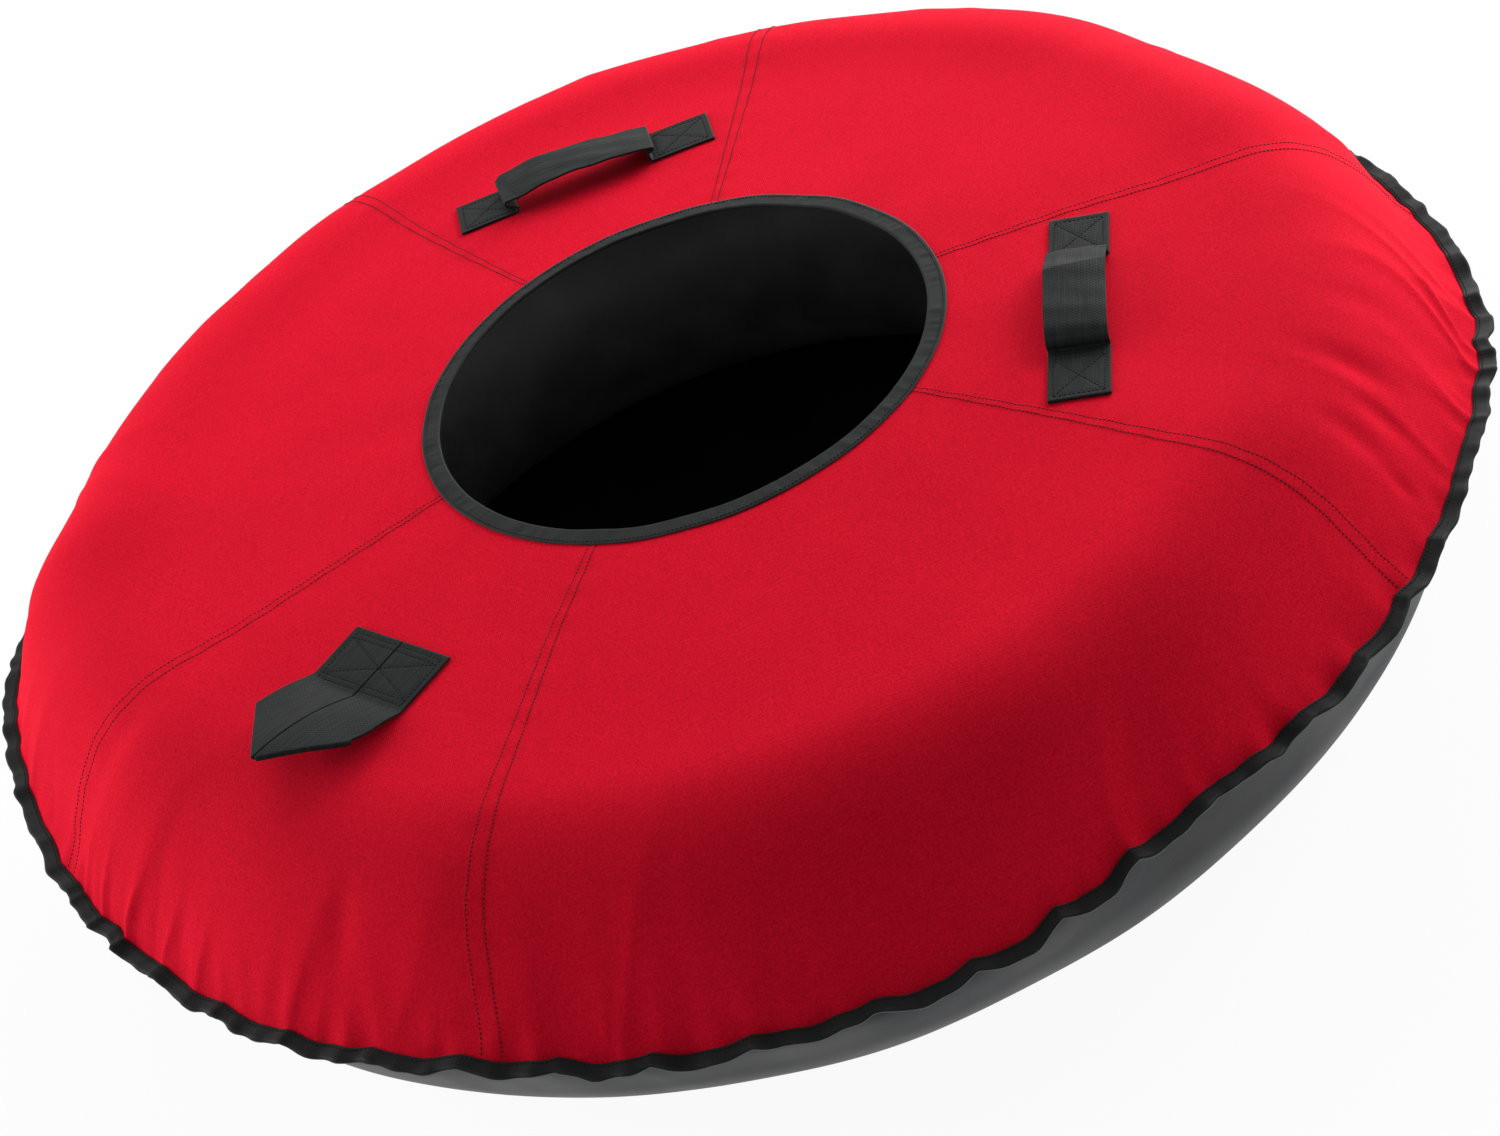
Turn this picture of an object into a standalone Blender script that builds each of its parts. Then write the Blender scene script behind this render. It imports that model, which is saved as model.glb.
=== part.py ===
"""Snow tube: a rubber inner tube in a sewn cover with two webbing handles and a tow loop.

Metres, +Z up. The origin is on the ground, on the axis of the tube. The camera side of the tube is -Y.
The cover is cut to the inflated tube, so its shape is worked out from the tube's ring and section.
"""
import math

import bmesh
import bpy
from mathutils import Matrix, Vector

# Inflated inner tube
TUBE_RING_RADIUS = 0.446        # axis of the tube to the middle of its section
TUBE_SECTION_RADIUS = 0.139
TUBE_WALL = 0.0016
SECTION_SIDES = 20

# Cover
HOLE_RADIUS = 0.197             # inside the bound edge of the hole
SEAM_REACH = 0.015              # the outer seam stands this far outside the inflated tube
SEAM_RISE = 0.0275              # and this far above the middle of it
CROWN_SLOPE_DEG = 3.4           # the flat of the top rises towards the hole
TOP_FABRIC = 0.001
BOTTOM_FABRIC = 0.0012
TAPE = 0.001                    # thickness of both bindings
HOLE_TAPE_WIDTH = 0.018
EDGE_TAPE_WIDTH = 0.015
TAPE_FOLD_STEPS = 4

# Felled seams between the gores of the top
GORES = {                       # name of each gore and the middle of the seam where it starts, degrees
    "top_gore_back_right": 0.5,
    "top_gore_back_handle": 69.0,
    "top_gore_left": 116.0,
    "top_gore_tow_loop": 194.5,
    "top_gore_front": 239.5,
    "top_gore_right_handle": 315.0,
}
FELL_DEG = 1.5                  # width of a felled seam, which spreads from the hole to the outer seam
FELL_RAMP_DEG = 0.3             # where the upper layer climbs onto the lower one
FELL_END = 0.003                # length of the same climb along the seam
STATION_STEP_DEG = 6.0          # largest step between the folds that all turned pieces share

# Webbing
WEBBING_WIDTH = 0.05
WEBBING = 0.002                 # thickness
HANDLE_REACH = 0.116            # middle of a handle to its outer ends
HANDLE_FREE = 0.058             # middle of a handle to where its sewn ends start
LEG_BEND = 0.0025               # bend where a leg leaves the cover, at the middle of the webbing
LEG_LEAN_DEG = 35.0             # a leg leans out over its sewn end, this far up from the cover
LEG_LENGTH = 0.015
FOLD_BEND = 0.003               # bend between a leg and the grip
GRIP_CROWN = 0.0015
BEND_STEPS = 5
GRIP_STEPS = 6
FLAT_STEPS = 3
BACK_HANDLE = {"azimuth": 92.4, "radius": 0.3357, "turn": -5.0}
RIGHT_HANDLE = {"azimuth": 337.2, "radius": 0.322, "turn": 5.0}

# Tow loop, one length of webbing folded to a point with both ends side by side
TOW_LOOP = {"azimuth": 217.5, "radius": 0.3617, "turn": -90.0}
TOW_SEWN_BACK = 0.026           # middle of the sewn part to its inner end
TOW_HINGE = 0.03                # middle of the sewn part to the line where the free part bends up
TOW_SLIT = 0.001
TOW_STRAND = 0.05               # free length of each strand up to the folded point
TOW_RISE_DEG = 26.0
TOW_STRAIGHT = 0.015            # the free part is straight for this length, then droops
TOW_DROOP_RADIUS = 0.2
TOW_RIDGE = 0.006               # the slit stands this much above the outer edges
TOW_TIP = 0.0015                # half width of the blunt tip
TOW_STRAND_STEPS = 5
TOW_POINT_STEPS = 5

# Valve, on the inner wall of the tube
VALVE_AZIMUTH = 290.0
VALVE_SIDES = 16
VALVE_BASE_RADIUS = 0.018
VALVE_BASE_THICKNESS = 0.0025
VALVE_BASE_BEVEL = 0.0015
VALVE_NECK_RADIUS = 0.0075      # rubber sleeve of the stem, at the base
VALVE_SLEEVE_RADIUS = 0.0055    # and at its top
VALVE_SLEEVE_LENGTH = 0.024
STEM_RADIUS = 0.00385
STEM_BORE_RADIUS = 0.0026
STEM_INSIDE = 0.006             # length of the stem inside the tube
STEM_LENGTH = 0.034             # length of the stem outside the tube
CORE_DEPTH = 0.02               # length of the valve core, down from near the stem's mouth
CORE_RECESS = 0.003             # the core sits below the mouth of the stem
CORE_BORE_RADIUS = 0.0008
PIN_RADIUS = 0.0005
PIN_OUT = 0.0015                # the pin stands out of its core, and is pressed down by less
PIN_TAIL = 0.002                # and reaches past the core's lower end
CAP_WALL = 0.0011
CAP_TOP = 0.0012
CAP_HEADROOM = 0.0015
CAP_RIB = 0.0004

CLEARANCE = 0.0003              # between faces that touch
OVERRUN = 0.004                 # cutters reach this far past what they cut

# Worked out from the sizes above
SECTION_STEP = 2 * math.pi / SECTION_SIDES
COVER_SECTION_RADIUS = TUBE_SECTION_RADIUS + CLEARANCE / math.cos(SECTION_STEP / 2)
TUBE_MIDDLE = BOTTOM_FABRIC + COVER_SECTION_RADIUS * math.cos(SECTION_STEP / 2)
SEAM_RADIUS = TUBE_RING_RADIUS + TUBE_SECTION_RADIUS + SEAM_REACH
SEAM_HEIGHT = TUBE_MIDDLE + SEAM_RISE
VALVE_FACE_RADIUS = TUBE_RING_RADIUS - TUBE_SECTION_RADIUS * math.cos(SECTION_STEP / 2)
VALVE_FLAT_DEG = math.degrees(math.atan2(VALVE_BASE_RADIUS + CLEARANCE, VALVE_FACE_RADIUS))
HOLE_TAPE_HALF = TOP_FABRIC / 2 + CLEARANCE + TAPE / 2
EDGE_TAPE_HALF = (TOP_FABRIC + BOTTOM_FABRIC + CLEARANCE) / 2 + CLEARANCE + TAPE / 2
GORE_EDGE_RADIUS = HOLE_RADIUS + HOLE_TAPE_HALF + TAPE / 2
FLANGE = EDGE_TAPE_WIDTH - EDGE_TAPE_HALF - TAPE / 2

# The six sides of a grid cell, each with its corners in order, for sheets and blocks
CELL_SIDES = {
    (0, 0, 1): ((0, 0, 1), (0, 1, 1), (1, 1, 1), (1, 0, 1)),
    (0, 0, -1): ((0, 0, 0), (1, 0, 0), (1, 1, 0), (0, 1, 0)),
    (0, 1, 0): ((0, 1, 0), (1, 1, 0), (1, 1, 1), (0, 1, 1)),
    (0, -1, 0): ((0, 0, 0), (0, 0, 1), (1, 0, 1), (1, 0, 0)),
    (1, 0, 0): ((1, 0, 0), (1, 0, 1), (1, 1, 1), (1, 1, 0)),
    (-1, 0, 0): ((0, 0, 0), (0, 1, 0), (0, 1, 1), (0, 0, 1)),
}


def clear_scene():
    for item in list(bpy.data.objects):
        bpy.data.objects.remove(item, do_unlink=True)


def linear(channel):
    return channel / 12.92 if channel <= 0.04045 else ((channel + 0.055) / 1.055) ** 2.4


def make_material(name, colour, roughness, metallic=0.0):
    """A Principled material from an sRGB hex colour."""
    material = bpy.data.materials.new(name)
    material.use_nodes = True
    shader = material.node_tree.nodes["Principled BSDF"]
    rgb = [linear(int(colour[k:k + 2], 16) / 255) for k in (0, 2, 4)]
    shader.inputs["Base Color"].default_value = (*rgb, 1)
    shader.inputs["Roughness"].default_value = roughness
    shader.inputs["Metallic"].default_value = metallic
    return material


def add_object(name, bm, material, origin=None, sharp_deg=40.0):
    """Puts a finished mesh in the scene, with its origin on the joint where it has one."""
    origin = origin or Vector()
    bmesh.ops.translate(bm, verts=bm.verts, vec=-origin)
    mesh = bpy.data.meshes.new(name)
    bm.to_mesh(mesh)
    bm.free()
    mesh.shade_smooth()
    mesh.set_sharp_from_angle(angle=math.radians(sharp_deg))
    mesh.materials.append(material)
    item = bpy.data.objects.new(name, mesh)
    item.location = origin
    bpy.context.collection.objects.link(item)
    return item


def grid_solid(corner, cells, around=0, ring=0):
    """A closed body of grid cells: only the sides between a cell and nothing become faces.

    corner gives the place of grid corner (i, j, k). The first index wraps after `around` steps and the
    second after `ring` steps, where these aren't zero. Stepping j, then i, turns right-handed about k.
    """
    bm = bmesh.new()
    made = {}

    def wrapped(i, j, k):
        return (i % around if around else i, j % ring if ring else j, k)

    def vertex(key):
        if key not in made:
            made[key] = bm.verts.new(corner(*key))
        return made[key]

    for cell in sorted(cells):
        for side, corners in CELL_SIDES.items():
            neighbour = wrapped(*(a + b for a, b in zip(cell, side)))
            if neighbour not in cells:
                keys = [wrapped(*(a + b for a, b in zip(cell, offset))) for offset in corners]
                bm.faces.new([vertex(key) for key in keys])
    return bm


def offset_line(line, distance):
    """The line moved to its left by the distance, with mitred corners."""
    normals = []
    for start, end in zip(line, line[1:]):
        run = (Vector(end) - Vector(start)).normalized()
        normals.append(Vector((-run.y, run.x)))
    moved = []
    for index, point in enumerate(line):
        middle = normals[max(index - 1, 0)] + normals[min(index, len(normals) - 1)]
        moved.append(Vector(point) + middle * (2 * distance / middle.length_squared))
    return moved


def at(angle_deg, point):
    """A point of a profile, radius and height, turned to an angle round the tube's axis."""
    angle = math.radians(angle_deg)
    return Vector((point[0] * math.cos(angle), point[0] * math.sin(angle), point[1]))


def section_point(angle, radius):
    return Vector((TUBE_RING_RADIUS + radius * math.cos(angle), TUBE_MIDDLE + radius * math.sin(angle)))


def arc_between(high, low):
    """Points of the cover over the tube between two angles, one over each corner of the tube's section."""
    angles = [(index + 0.5) * SECTION_STEP for index in range(-SECTION_SIDES // 2, SECTION_SIDES // 2)]
    inner = [angle for angle in reversed(angles) if low < angle < high]
    return [section_point(angle, COVER_SECTION_RADIUS) for angle in inner]


def touching_angle(point, side):
    """Where a line from the point touches the cover's section, on its upper (1) or lower (-1) side."""
    reach = Vector(point) - section_point(0, 0)
    return math.atan2(reach.y, reach.x) + side * math.acos(COVER_SECTION_RADIUS / reach.length)


def top_line():
    """Inner face of the top cover, from the edge of the hole to the end of the seam flange."""
    slope = math.radians(CROWN_SLOPE_DEG)
    crown_angle = math.pi / 2 - slope
    crown = section_point(crown_angle, COVER_SECTION_RADIUS)
    seam = Vector((SEAM_RADIUS, SEAM_HEIGHT + CLEARANCE / 2))
    leave_angle = touching_angle(seam, 1)
    leave = section_point(leave_angle, COVER_SECTION_RADIUS)
    tape_end = HOLE_RADIUS + HOLE_TAPE_WIDTH + CLEARANCE
    flat = [Vector((radius, crown.y + (crown.x - radius) * math.tan(slope)))
            for radius in (GORE_EDGE_RADIUS, tape_end, tape_end + FELL_END)]
    fell_end = seam + (leave - seam).normalized() * FELL_END
    flange_end = seam + Vector((FLANGE, 0))
    return flat + [crown] + arc_between(crown_angle, leave_angle) + [leave, fell_end, seam, flange_end]


def bottom_line():
    """Inner face of the bottom cover, from the end of the seam flange to the floor under the hole."""
    seam = Vector((SEAM_RADIUS, SEAM_HEIGHT - CLEARANCE / 2))
    leave_angle = touching_angle(seam, -1)
    leave = section_point(leave_angle, COVER_SECTION_RADIUS)
    floor = Vector((HOLE_RADIUS, BOTTOM_FABRIC))
    return ([seam + Vector((FLANGE, 0)), seam, leave] + arc_between(leave_angle, -math.pi / 2) + [floor])


def tape_line(edge, outward, leg, half):
    """Middle of a tape folded round an edge: one leg, the fold, the other leg."""
    side = Vector((-outward.y, outward.x))
    fold = []
    for step in range(TAPE_FOLD_STEPS + 1):
        angle = math.pi / 2 - math.pi * step / TAPE_FOLD_STEPS
        fold.append(edge + outward * (half * math.cos(angle)) + side * (half * math.sin(angle)))
    return [fold[0] - outward * leg] + fold + [fold[-1] - outward * leg]


TOP_LINE = top_line()
TOP_OUTSIDE = offset_line(TOP_LINE, TOP_FABRIC)


def cover_height(radius):
    """Height of the top cover's outer face at a distance from the axis."""
    for inner, outer in zip(TOP_OUTSIDE, TOP_OUTSIDE[1:]):
        if radius <= outer.x:
            return inner.y + (outer.y - inner.y) * (radius - inner.x) / (outer.x - inner.x)
    return TOP_OUTSIDE[-1].y


def gore_marks():
    """Angle where each gore starts under the felled seam, in order round the tube."""
    return [middle - FELL_DEG / 2 for middle in GORES.values()]


def station_angles():
    """Angles of the folds that the tube, the cover and the bindings share, once round from the first gore."""
    first = gore_marks()[0]
    marks = gore_marks() + [90, 180, 270]
    marks += [VALVE_AZIMUTH - VALVE_FLAT_DEG, VALVE_AZIMUTH + VALVE_FLAT_DEG, first + 360]
    marks.sort()
    angles = []
    for start, end in zip(marks, marks[1:]):
        is_valve_flat = start < VALVE_AZIMUTH < end
        steps = 1 if is_valve_flat else math.ceil((end - start) / STATION_STEP_DEG)
        angles += [start + (end - start) * step / steps for step in range(steps)]
    return angles


STATIONS = station_angles()


def turned_sheet(line, inside, outside):
    """A sheet turned right round the axis, between two offsets of a profile."""
    layers = (offset_line(line, inside), offset_line(line, outside))
    cells = {(i, j, 0) for i in range(len(STATIONS)) for j in range(len(line) - 1)}
    return grid_solid(lambda i, j, k: at(STATIONS[i], layers[k][j]), cells, around=len(STATIONS))


def build_inner_tube(material):
    """Torus shell. The valve hole is its only opening."""
    def corner(i, j, k):
        radius = TUBE_SECTION_RADIUS - TUBE_WALL * (1 - k)
        return at(STATIONS[i], section_point(-(j + 0.5) * SECTION_STEP, radius))

    cells = {(i, j, 0) for i in range(len(STATIONS)) for j in range(SECTION_SIDES)}
    bm = grid_solid(corner, cells, around=len(STATIONS), ring=SECTION_SIDES)
    tube = add_object("inner_tube", bm, material)
    hole = STEM_RADIUS + CLEARANCE
    depth = TUBE_WALL + OVERRUN
    outline = [(0, -depth), (hole, -depth), (hole, OVERRUN), (0, OVERRUN)]
    cutter = add_object("valve_hole_cutter", lathe(outline), material)
    cutter.matrix_world = valve_frame()
    cutter.hide_render = True
    cutter.display_type = "WIRE"
    cut = tube.modifiers.new("valve_hole", "BOOLEAN")
    cut.operation = "DIFFERENCE"
    cut.solver = "EXACT"
    cut.object = cutter


def build_gore(name, start, end, material):
    """One gore, a shell from the hole to the flange. Its far edge climbs onto the next gore: a felled seam."""
    layers = [offset_line(TOP_LINE, height) for height in
              (0, TOP_FABRIC, TOP_FABRIC + CLEARANCE, 2 * TOP_FABRIC + CLEARANCE)]
    inner = [angle for angle in STATIONS + [STATIONS[0] + 360] if start < angle < end]
    columns = [start] + inner + [end - FELL_RAMP_DEG, end, end + FELL_DEG]
    seam_column = len(columns) - 2
    fell_rows = range(2, len(TOP_LINE) - 2)

    def corner(i, j, k):
        raised = i >= seam_column and j in fell_rows
        point = layers[k + 2 if raised else k][j]
        shift = math.degrees(CLEARANCE / point.x) if i == 0 else 0
        return at(columns[i] + shift, point)

    cells = {(i, j, 0) for i in range(seam_column) for j in range(len(TOP_LINE) - 1)}
    cells |= {(seam_column, j, 0) for j in fell_rows if j + 1 in fell_rows}
    add_object(name, grid_solid(corner, cells), material)


def build_bottom_cover(material):
    """Coated dish: flange, side and flat floor, which runs on under the hole."""
    line = bottom_line()
    count = len(STATIONS)
    layers = (line, offset_line(line, BOTTOM_FABRIC))
    bm = bmesh.new()
    rings = [[[bm.verts.new(at(angle, point)) for angle in STATIONS] for point in layer] for layer in layers]
    for i in range(count):
        after = (i + 1) % count
        for j in range(len(line) - 1):
            inner, outer = ((ring[j][i], ring[j + 1][i], ring[j + 1][after], ring[j][after])
                            for ring in rings)
            bm.faces.new(outer)
            bm.faces.new(reversed(inner))
        bm.faces.new((rings[0][0][i], rings[1][0][i], rings[1][0][after], rings[0][0][after]))
    bm.faces.new(rings[0][-1])
    bm.faces.new(reversed(rings[1][-1]))
    add_object("bottom_cover", bm, material)


def build_bindings(material):
    """Tapes folded over the edge of the hole and over the flange of the outer seam."""
    slope = math.radians(CROWN_SLOPE_DEG)
    towards_hole = Vector((-math.cos(slope), math.sin(slope)))
    hole_edge = TOP_LINE[0] + Vector((math.sin(slope), math.cos(slope))) * (TOP_FABRIC / 2)
    leg = HOLE_TAPE_WIDTH - HOLE_TAPE_HALF - TAPE / 2
    hole_line = tape_line(hole_edge, towards_hole, leg, HOLE_TAPE_HALF)
    add_object("hole_binding", turned_sheet(hole_line, -TAPE / 2, TAPE / 2), material)
    flange_middle = SEAM_HEIGHT + (TOP_FABRIC - BOTTOM_FABRIC) / 2
    leg = FLANGE - max(TOP_FABRIC, BOTTOM_FABRIC) - CLEARANCE
    edge_line = tape_line(Vector((SEAM_RADIUS + FLANGE, flange_middle)), Vector((1, 0)), leg, EDGE_TAPE_HALF)
    add_object("edge_binding", turned_sheet(edge_line, -TAPE / 2, TAPE / 2), material)


def strap_place(place):
    """Middle of a strap, its lengthwise direction and its crosswise direction, seen from above."""
    middle = at(place["azimuth"], (place["radius"], 0))
    heading = place["azimuth"] + place["turn"] + 90
    return middle, at(heading, (1, 0)), at(heading - 90, (1, 0))


def lay(place, along, across, height):
    """A point over the cover, at a height above its surface, in a strap's own directions."""
    middle, lengthwise, crosswise = strap_place(place)
    point = middle + lengthwise * along + crosswise * across
    point.z = cover_height(math.hypot(point.x, point.y)) + CLEARANCE + height
    return point


def strap(place, line, edges):
    """Webbing along a line of lengthwise places and heights, between two crosswise edges."""
    faces = (offset_line(line, -WEBBING / 2), offset_line(line, WEBBING / 2))
    cells = {(i, 0, 0) for i in range(len(line) - 1)}
    return grid_solid(lambda i, j, k: lay(place, faces[k][i].x, edges[j], faces[k][i].y), cells)


def flat_strap_line(start, end):
    return [(start + (end - start) * step / FLAT_STEPS, WEBBING / 2) for step in range(FLAT_STEPS + 1)]


def bend(point, heading, turn, radius):
    """Points along a bend, and the heading after it. Angles in radians, a left turn is positive."""
    side = math.copysign(1, turn)
    centre = Vector(point) + Vector((-math.sin(heading), math.cos(heading))) * (side * radius)
    points = []
    for step in range(1, BEND_STEPS + 1):
        now = heading + turn * step / BEND_STEPS
        points.append(centre - Vector((-math.sin(now), math.cos(now))) * (side * radius))
    return points, heading + turn


def loop_line():
    """Free webbing of a handle, end to end: each leg folds back over its sewn end before the grip."""
    lean = math.pi - math.radians(LEG_LEAN_DEG)
    start = Vector((CLEARANCE - HANDLE_FREE, WEBBING / 2))
    left, heading = bend(start, 0, lean, LEG_BEND)
    left.insert(0, start)
    left.append(left[-1] + Vector((math.cos(heading), math.sin(heading))) * LEG_LENGTH)
    fold, heading = bend(left[-1], heading, -lean, FOLD_BEND)
    left += fold
    right = [Vector((-point.x, point.y)) for point in reversed(left)]
    end = left[-1]
    grip = []
    for step in range(1, GRIP_STEPS):
        share = 2 * step / GRIP_STEPS - 1
        grip.append(Vector((-end.x * share, end.y + GRIP_CROWN * (1 - share * share))))
    return left + grip + right


def build_handle(name, place, material):
    edges = (-WEBBING_WIDTH / 2, WEBBING_WIDTH / 2)
    for side, ends in (("left", (HANDLE_FREE, HANDLE_REACH)), ("right", (-HANDLE_REACH, -HANDLE_FREE))):
        add_object(f"{name}_end_{side}", strap(place, flat_strap_line(*ends), edges), material)
    add_object(f"{name}_loop", strap(place, loop_line(), edges), material, origin=lay(place, 0, 0, 0))


def tow_free_line():
    """Middle of the free webbing, from the hinge to the tip: lengthwise places and heights over the hinge."""
    rise = math.radians(TOW_RISE_DEG)
    ahead = Vector((math.cos(rise), math.sin(rise)))
    below = Vector((math.sin(rise), -math.cos(rise)))
    start = ahead * CLEARANCE + below * (WEBBING + CLEARANCE) / 2
    droop_centre = start + ahead * TOW_STRAIGHT + below * TOW_DROOP_RADIUS
    lengths = [TOW_STRAND * step / TOW_STRAND_STEPS for step in range(TOW_STRAND_STEPS)]
    lengths += [TOW_STRAND + WEBBING_WIDTH * step / TOW_POINT_STEPS for step in range(TOW_POINT_STEPS + 1)]
    line = []
    for run in lengths:
        if run <= TOW_STRAIGHT:
            line.append(start + ahead * run)
        else:
            now = rise - (run - TOW_STRAIGHT) / TOW_DROOP_RADIUS
            line.append(droop_centre - Vector((math.sin(now), -math.cos(now))) * TOW_DROOP_RADIUS)
    return lengths, line


def build_tow_loop(material):
    """Two sewn strands side by side, and the free loop, whose point is two layers of folded webbing."""
    half_slit = TOW_SLIT / 2
    outer = half_slit + WEBBING_WIDTH
    for side, edges in (("left", (half_slit, outer)), ("right", (-outer, -half_slit))):
        line = flat_strap_line(-TOW_SEWN_BACK, TOW_HINGE)
        add_object(f"tow_loop_end_{side}", strap(TOW_LOOP, line, edges), material)

    middle, lengthwise, crosswise = strap_place(TOW_LOOP)
    hinge = lay(TOW_LOOP, TOW_HINGE + CLEARANCE / 2, 0, WEBBING + CLEARANCE / 2)
    lengths, line = tow_free_line()
    levels = [offset_line(line, height) for height in (-1.5 * WEBBING, -WEBBING / 2, WEBBING / 2)]

    def corner(i, j, k):
        narrowing = max(lengths[i] - TOW_STRAND, 0)
        width = outer - narrowing + TOW_TIP * narrowing / WEBBING_WIDTH
        across = (-width, -half_slit, half_slit, width)[j]
        ridge = TOW_RIDGE * min(lengths[i] / TOW_STRAND, 1) * abs(across) / outer
        point = levels[k][i]
        return hinge + lengthwise * point.x + crosswise * across + Vector((0, 0, point.y - ridge))

    count = len(line) - 1
    cells = {(i, j, 1) for i in range(count) for j in (0, 2)}
    cells |= {(i, j, 0) for i in range(TOW_STRAND_STEPS, count) for j in range(3)}
    add_object("tow_loop", grid_solid(corner, cells), material, origin=hinge)


def lathe(outline, rib_radius=0.0, rib=0.0):
    """A closed outline of radii and heights turned about Z. At the rib radius every other side steps in."""
    bm = bmesh.new()
    rings = []
    for radius, height in outline:
        if radius == 0:
            rings.append([bm.verts.new((0, 0, height))] * VALVE_SIDES)
            continue
        ring = []
        for side in range(VALVE_SIDES):
            angle = 2 * math.pi * side / VALVE_SIDES
            size = radius - (rib if rib and radius == rib_radius and side % 2 else 0)
            ring.append(bm.verts.new((size * math.cos(angle), size * math.sin(angle), height)))
        rings.append(ring)
    for ring, after in zip(rings, rings[1:] + rings[:1]):
        for side in range(VALVE_SIDES):
            nearby = (side + 1) % VALVE_SIDES
            loop = dict.fromkeys((ring[side], ring[nearby], after[nearby], after[side]))
            if len(loop) > 2:
                bm.faces.new(loop)
    bmesh.ops.recalc_face_normals(bm, faces=bm.faces)
    return bm


def valve_frame():
    """Frame of the valve: its origin is on the tube's inner wall and its Z points at the tube's axis."""
    inward = -at(VALVE_AZIMUTH, (1, 0))
    turn = inward.to_track_quat("Z", "Y").to_matrix().to_4x4()
    face = VALVE_FACE_RADIUS * math.cos(math.radians(VALVE_FLAT_DEG))
    return Matrix.Translation(at(VALVE_AZIMUTH, (face, TUBE_MIDDLE))) @ turn


def build_valve(rubber, brass, plastic):
    """Rubber base, brass stem, core and pin, and a cap, all on one axis that points into the hole."""
    base = [
        (STEM_RADIUS + CLEARANCE, CLEARANCE),
        (VALVE_BASE_RADIUS, CLEARANCE),
        (VALVE_BASE_RADIUS, VALVE_BASE_THICKNESS - VALVE_BASE_BEVEL),
        (VALVE_BASE_RADIUS - VALVE_BASE_BEVEL, VALVE_BASE_THICKNESS),
        (VALVE_NECK_RADIUS, VALVE_BASE_THICKNESS),
        (VALVE_SLEEVE_RADIUS, VALVE_SLEEVE_LENGTH),
        (STEM_RADIUS + CLEARANCE, VALVE_SLEEVE_LENGTH),
    ]
    stem = [(STEM_BORE_RADIUS, -STEM_INSIDE), (STEM_RADIUS, -STEM_INSIDE),
            (STEM_RADIUS, STEM_LENGTH), (STEM_BORE_RADIUS, STEM_LENGTH)]
    core_top = STEM_LENGTH - CORE_RECESS
    core_radius = STEM_BORE_RADIUS - CLEARANCE
    core = [(CORE_BORE_RADIUS, core_top - CORE_DEPTH), (core_radius, core_top - CORE_DEPTH),
            (core_radius, core_top), (CORE_BORE_RADIUS, core_top)]
    pin_top = core_top + PIN_OUT
    pin = [(0, core_top - CORE_DEPTH - PIN_TAIL), (PIN_RADIUS, core_top - CORE_DEPTH - PIN_TAIL),
           (PIN_RADIUS, pin_top), (0, pin_top)]
    cap_radius = STEM_RADIUS + CLEARANCE + CAP_WALL
    cap_foot = VALVE_SLEEVE_LENGTH + CLEARANCE
    cap_roof = STEM_LENGTH + CAP_HEADROOM
    cap = [(STEM_RADIUS + CLEARANCE, cap_foot), (cap_radius, cap_foot), (cap_radius, cap_roof),
           (cap_radius - CAP_WALL, cap_roof + CAP_TOP), (0, cap_roof + CAP_TOP), (0, cap_roof),
           (STEM_RADIUS + CLEARANCE, cap_roof)]
    frame = valve_frame()
    for name, outline, material in (("valve_base", base, rubber), ("valve_stem", stem, brass),
                                    ("valve_core", core, brass), ("valve_pin", pin, brass)):
        add_object(name, lathe(outline), material).matrix_world = frame
    add_object("valve_cap", lathe(cap, cap_radius, CAP_RIB), plastic).matrix_world = frame


def main():
    clear_scene()
    red_oxford = make_material("red_oxford", "D91733", 0.75)
    coated = make_material("coated_fabric", "23272C", 0.5)
    bias_tape = make_material("bias_tape", "2A2D2E", 0.7)
    webbing = make_material("webbing", "303434", 0.8)
    butyl = make_material("butyl_rubber", "17181A", 0.55)
    brass = make_material("brass", "C9A55C", 0.35, 1.0)
    cap_plastic = make_material("cap_plastic", "1B1C1E", 0.5)
    build_inner_tube(butyl)
    marks = gore_marks()
    for name, start, end in zip(GORES, marks, marks[1:] + [marks[0] + 360]):
        build_gore(name, start, end, red_oxford)
    build_bottom_cover(coated)
    build_bindings(bias_tape)
    build_handle("back_handle", BACK_HANDLE, webbing)
    build_handle("right_handle", RIGHT_HANDLE, webbing)
    build_tow_loop(webbing)
    build_valve(butyl, brass, cap_plastic)


main()
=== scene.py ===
import math

import bpy
import numpy as np
from mathutils import Matrix, Vector


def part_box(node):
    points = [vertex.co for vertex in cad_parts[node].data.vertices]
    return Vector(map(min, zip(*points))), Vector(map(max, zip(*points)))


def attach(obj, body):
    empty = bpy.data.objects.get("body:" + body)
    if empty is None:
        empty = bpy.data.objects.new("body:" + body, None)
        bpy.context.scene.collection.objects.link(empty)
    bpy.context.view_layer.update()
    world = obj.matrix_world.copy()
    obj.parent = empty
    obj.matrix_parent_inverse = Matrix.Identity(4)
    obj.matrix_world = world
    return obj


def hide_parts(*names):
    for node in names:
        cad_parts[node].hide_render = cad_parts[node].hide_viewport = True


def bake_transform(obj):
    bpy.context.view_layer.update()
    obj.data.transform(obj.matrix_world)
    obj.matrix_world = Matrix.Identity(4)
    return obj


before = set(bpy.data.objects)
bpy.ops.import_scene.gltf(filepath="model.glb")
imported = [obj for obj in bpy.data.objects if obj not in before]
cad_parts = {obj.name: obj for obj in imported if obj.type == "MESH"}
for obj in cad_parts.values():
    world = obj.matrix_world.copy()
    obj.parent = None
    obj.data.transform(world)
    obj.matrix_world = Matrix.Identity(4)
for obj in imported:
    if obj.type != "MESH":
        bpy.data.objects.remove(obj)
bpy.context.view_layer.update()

MM = 0.001

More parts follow.
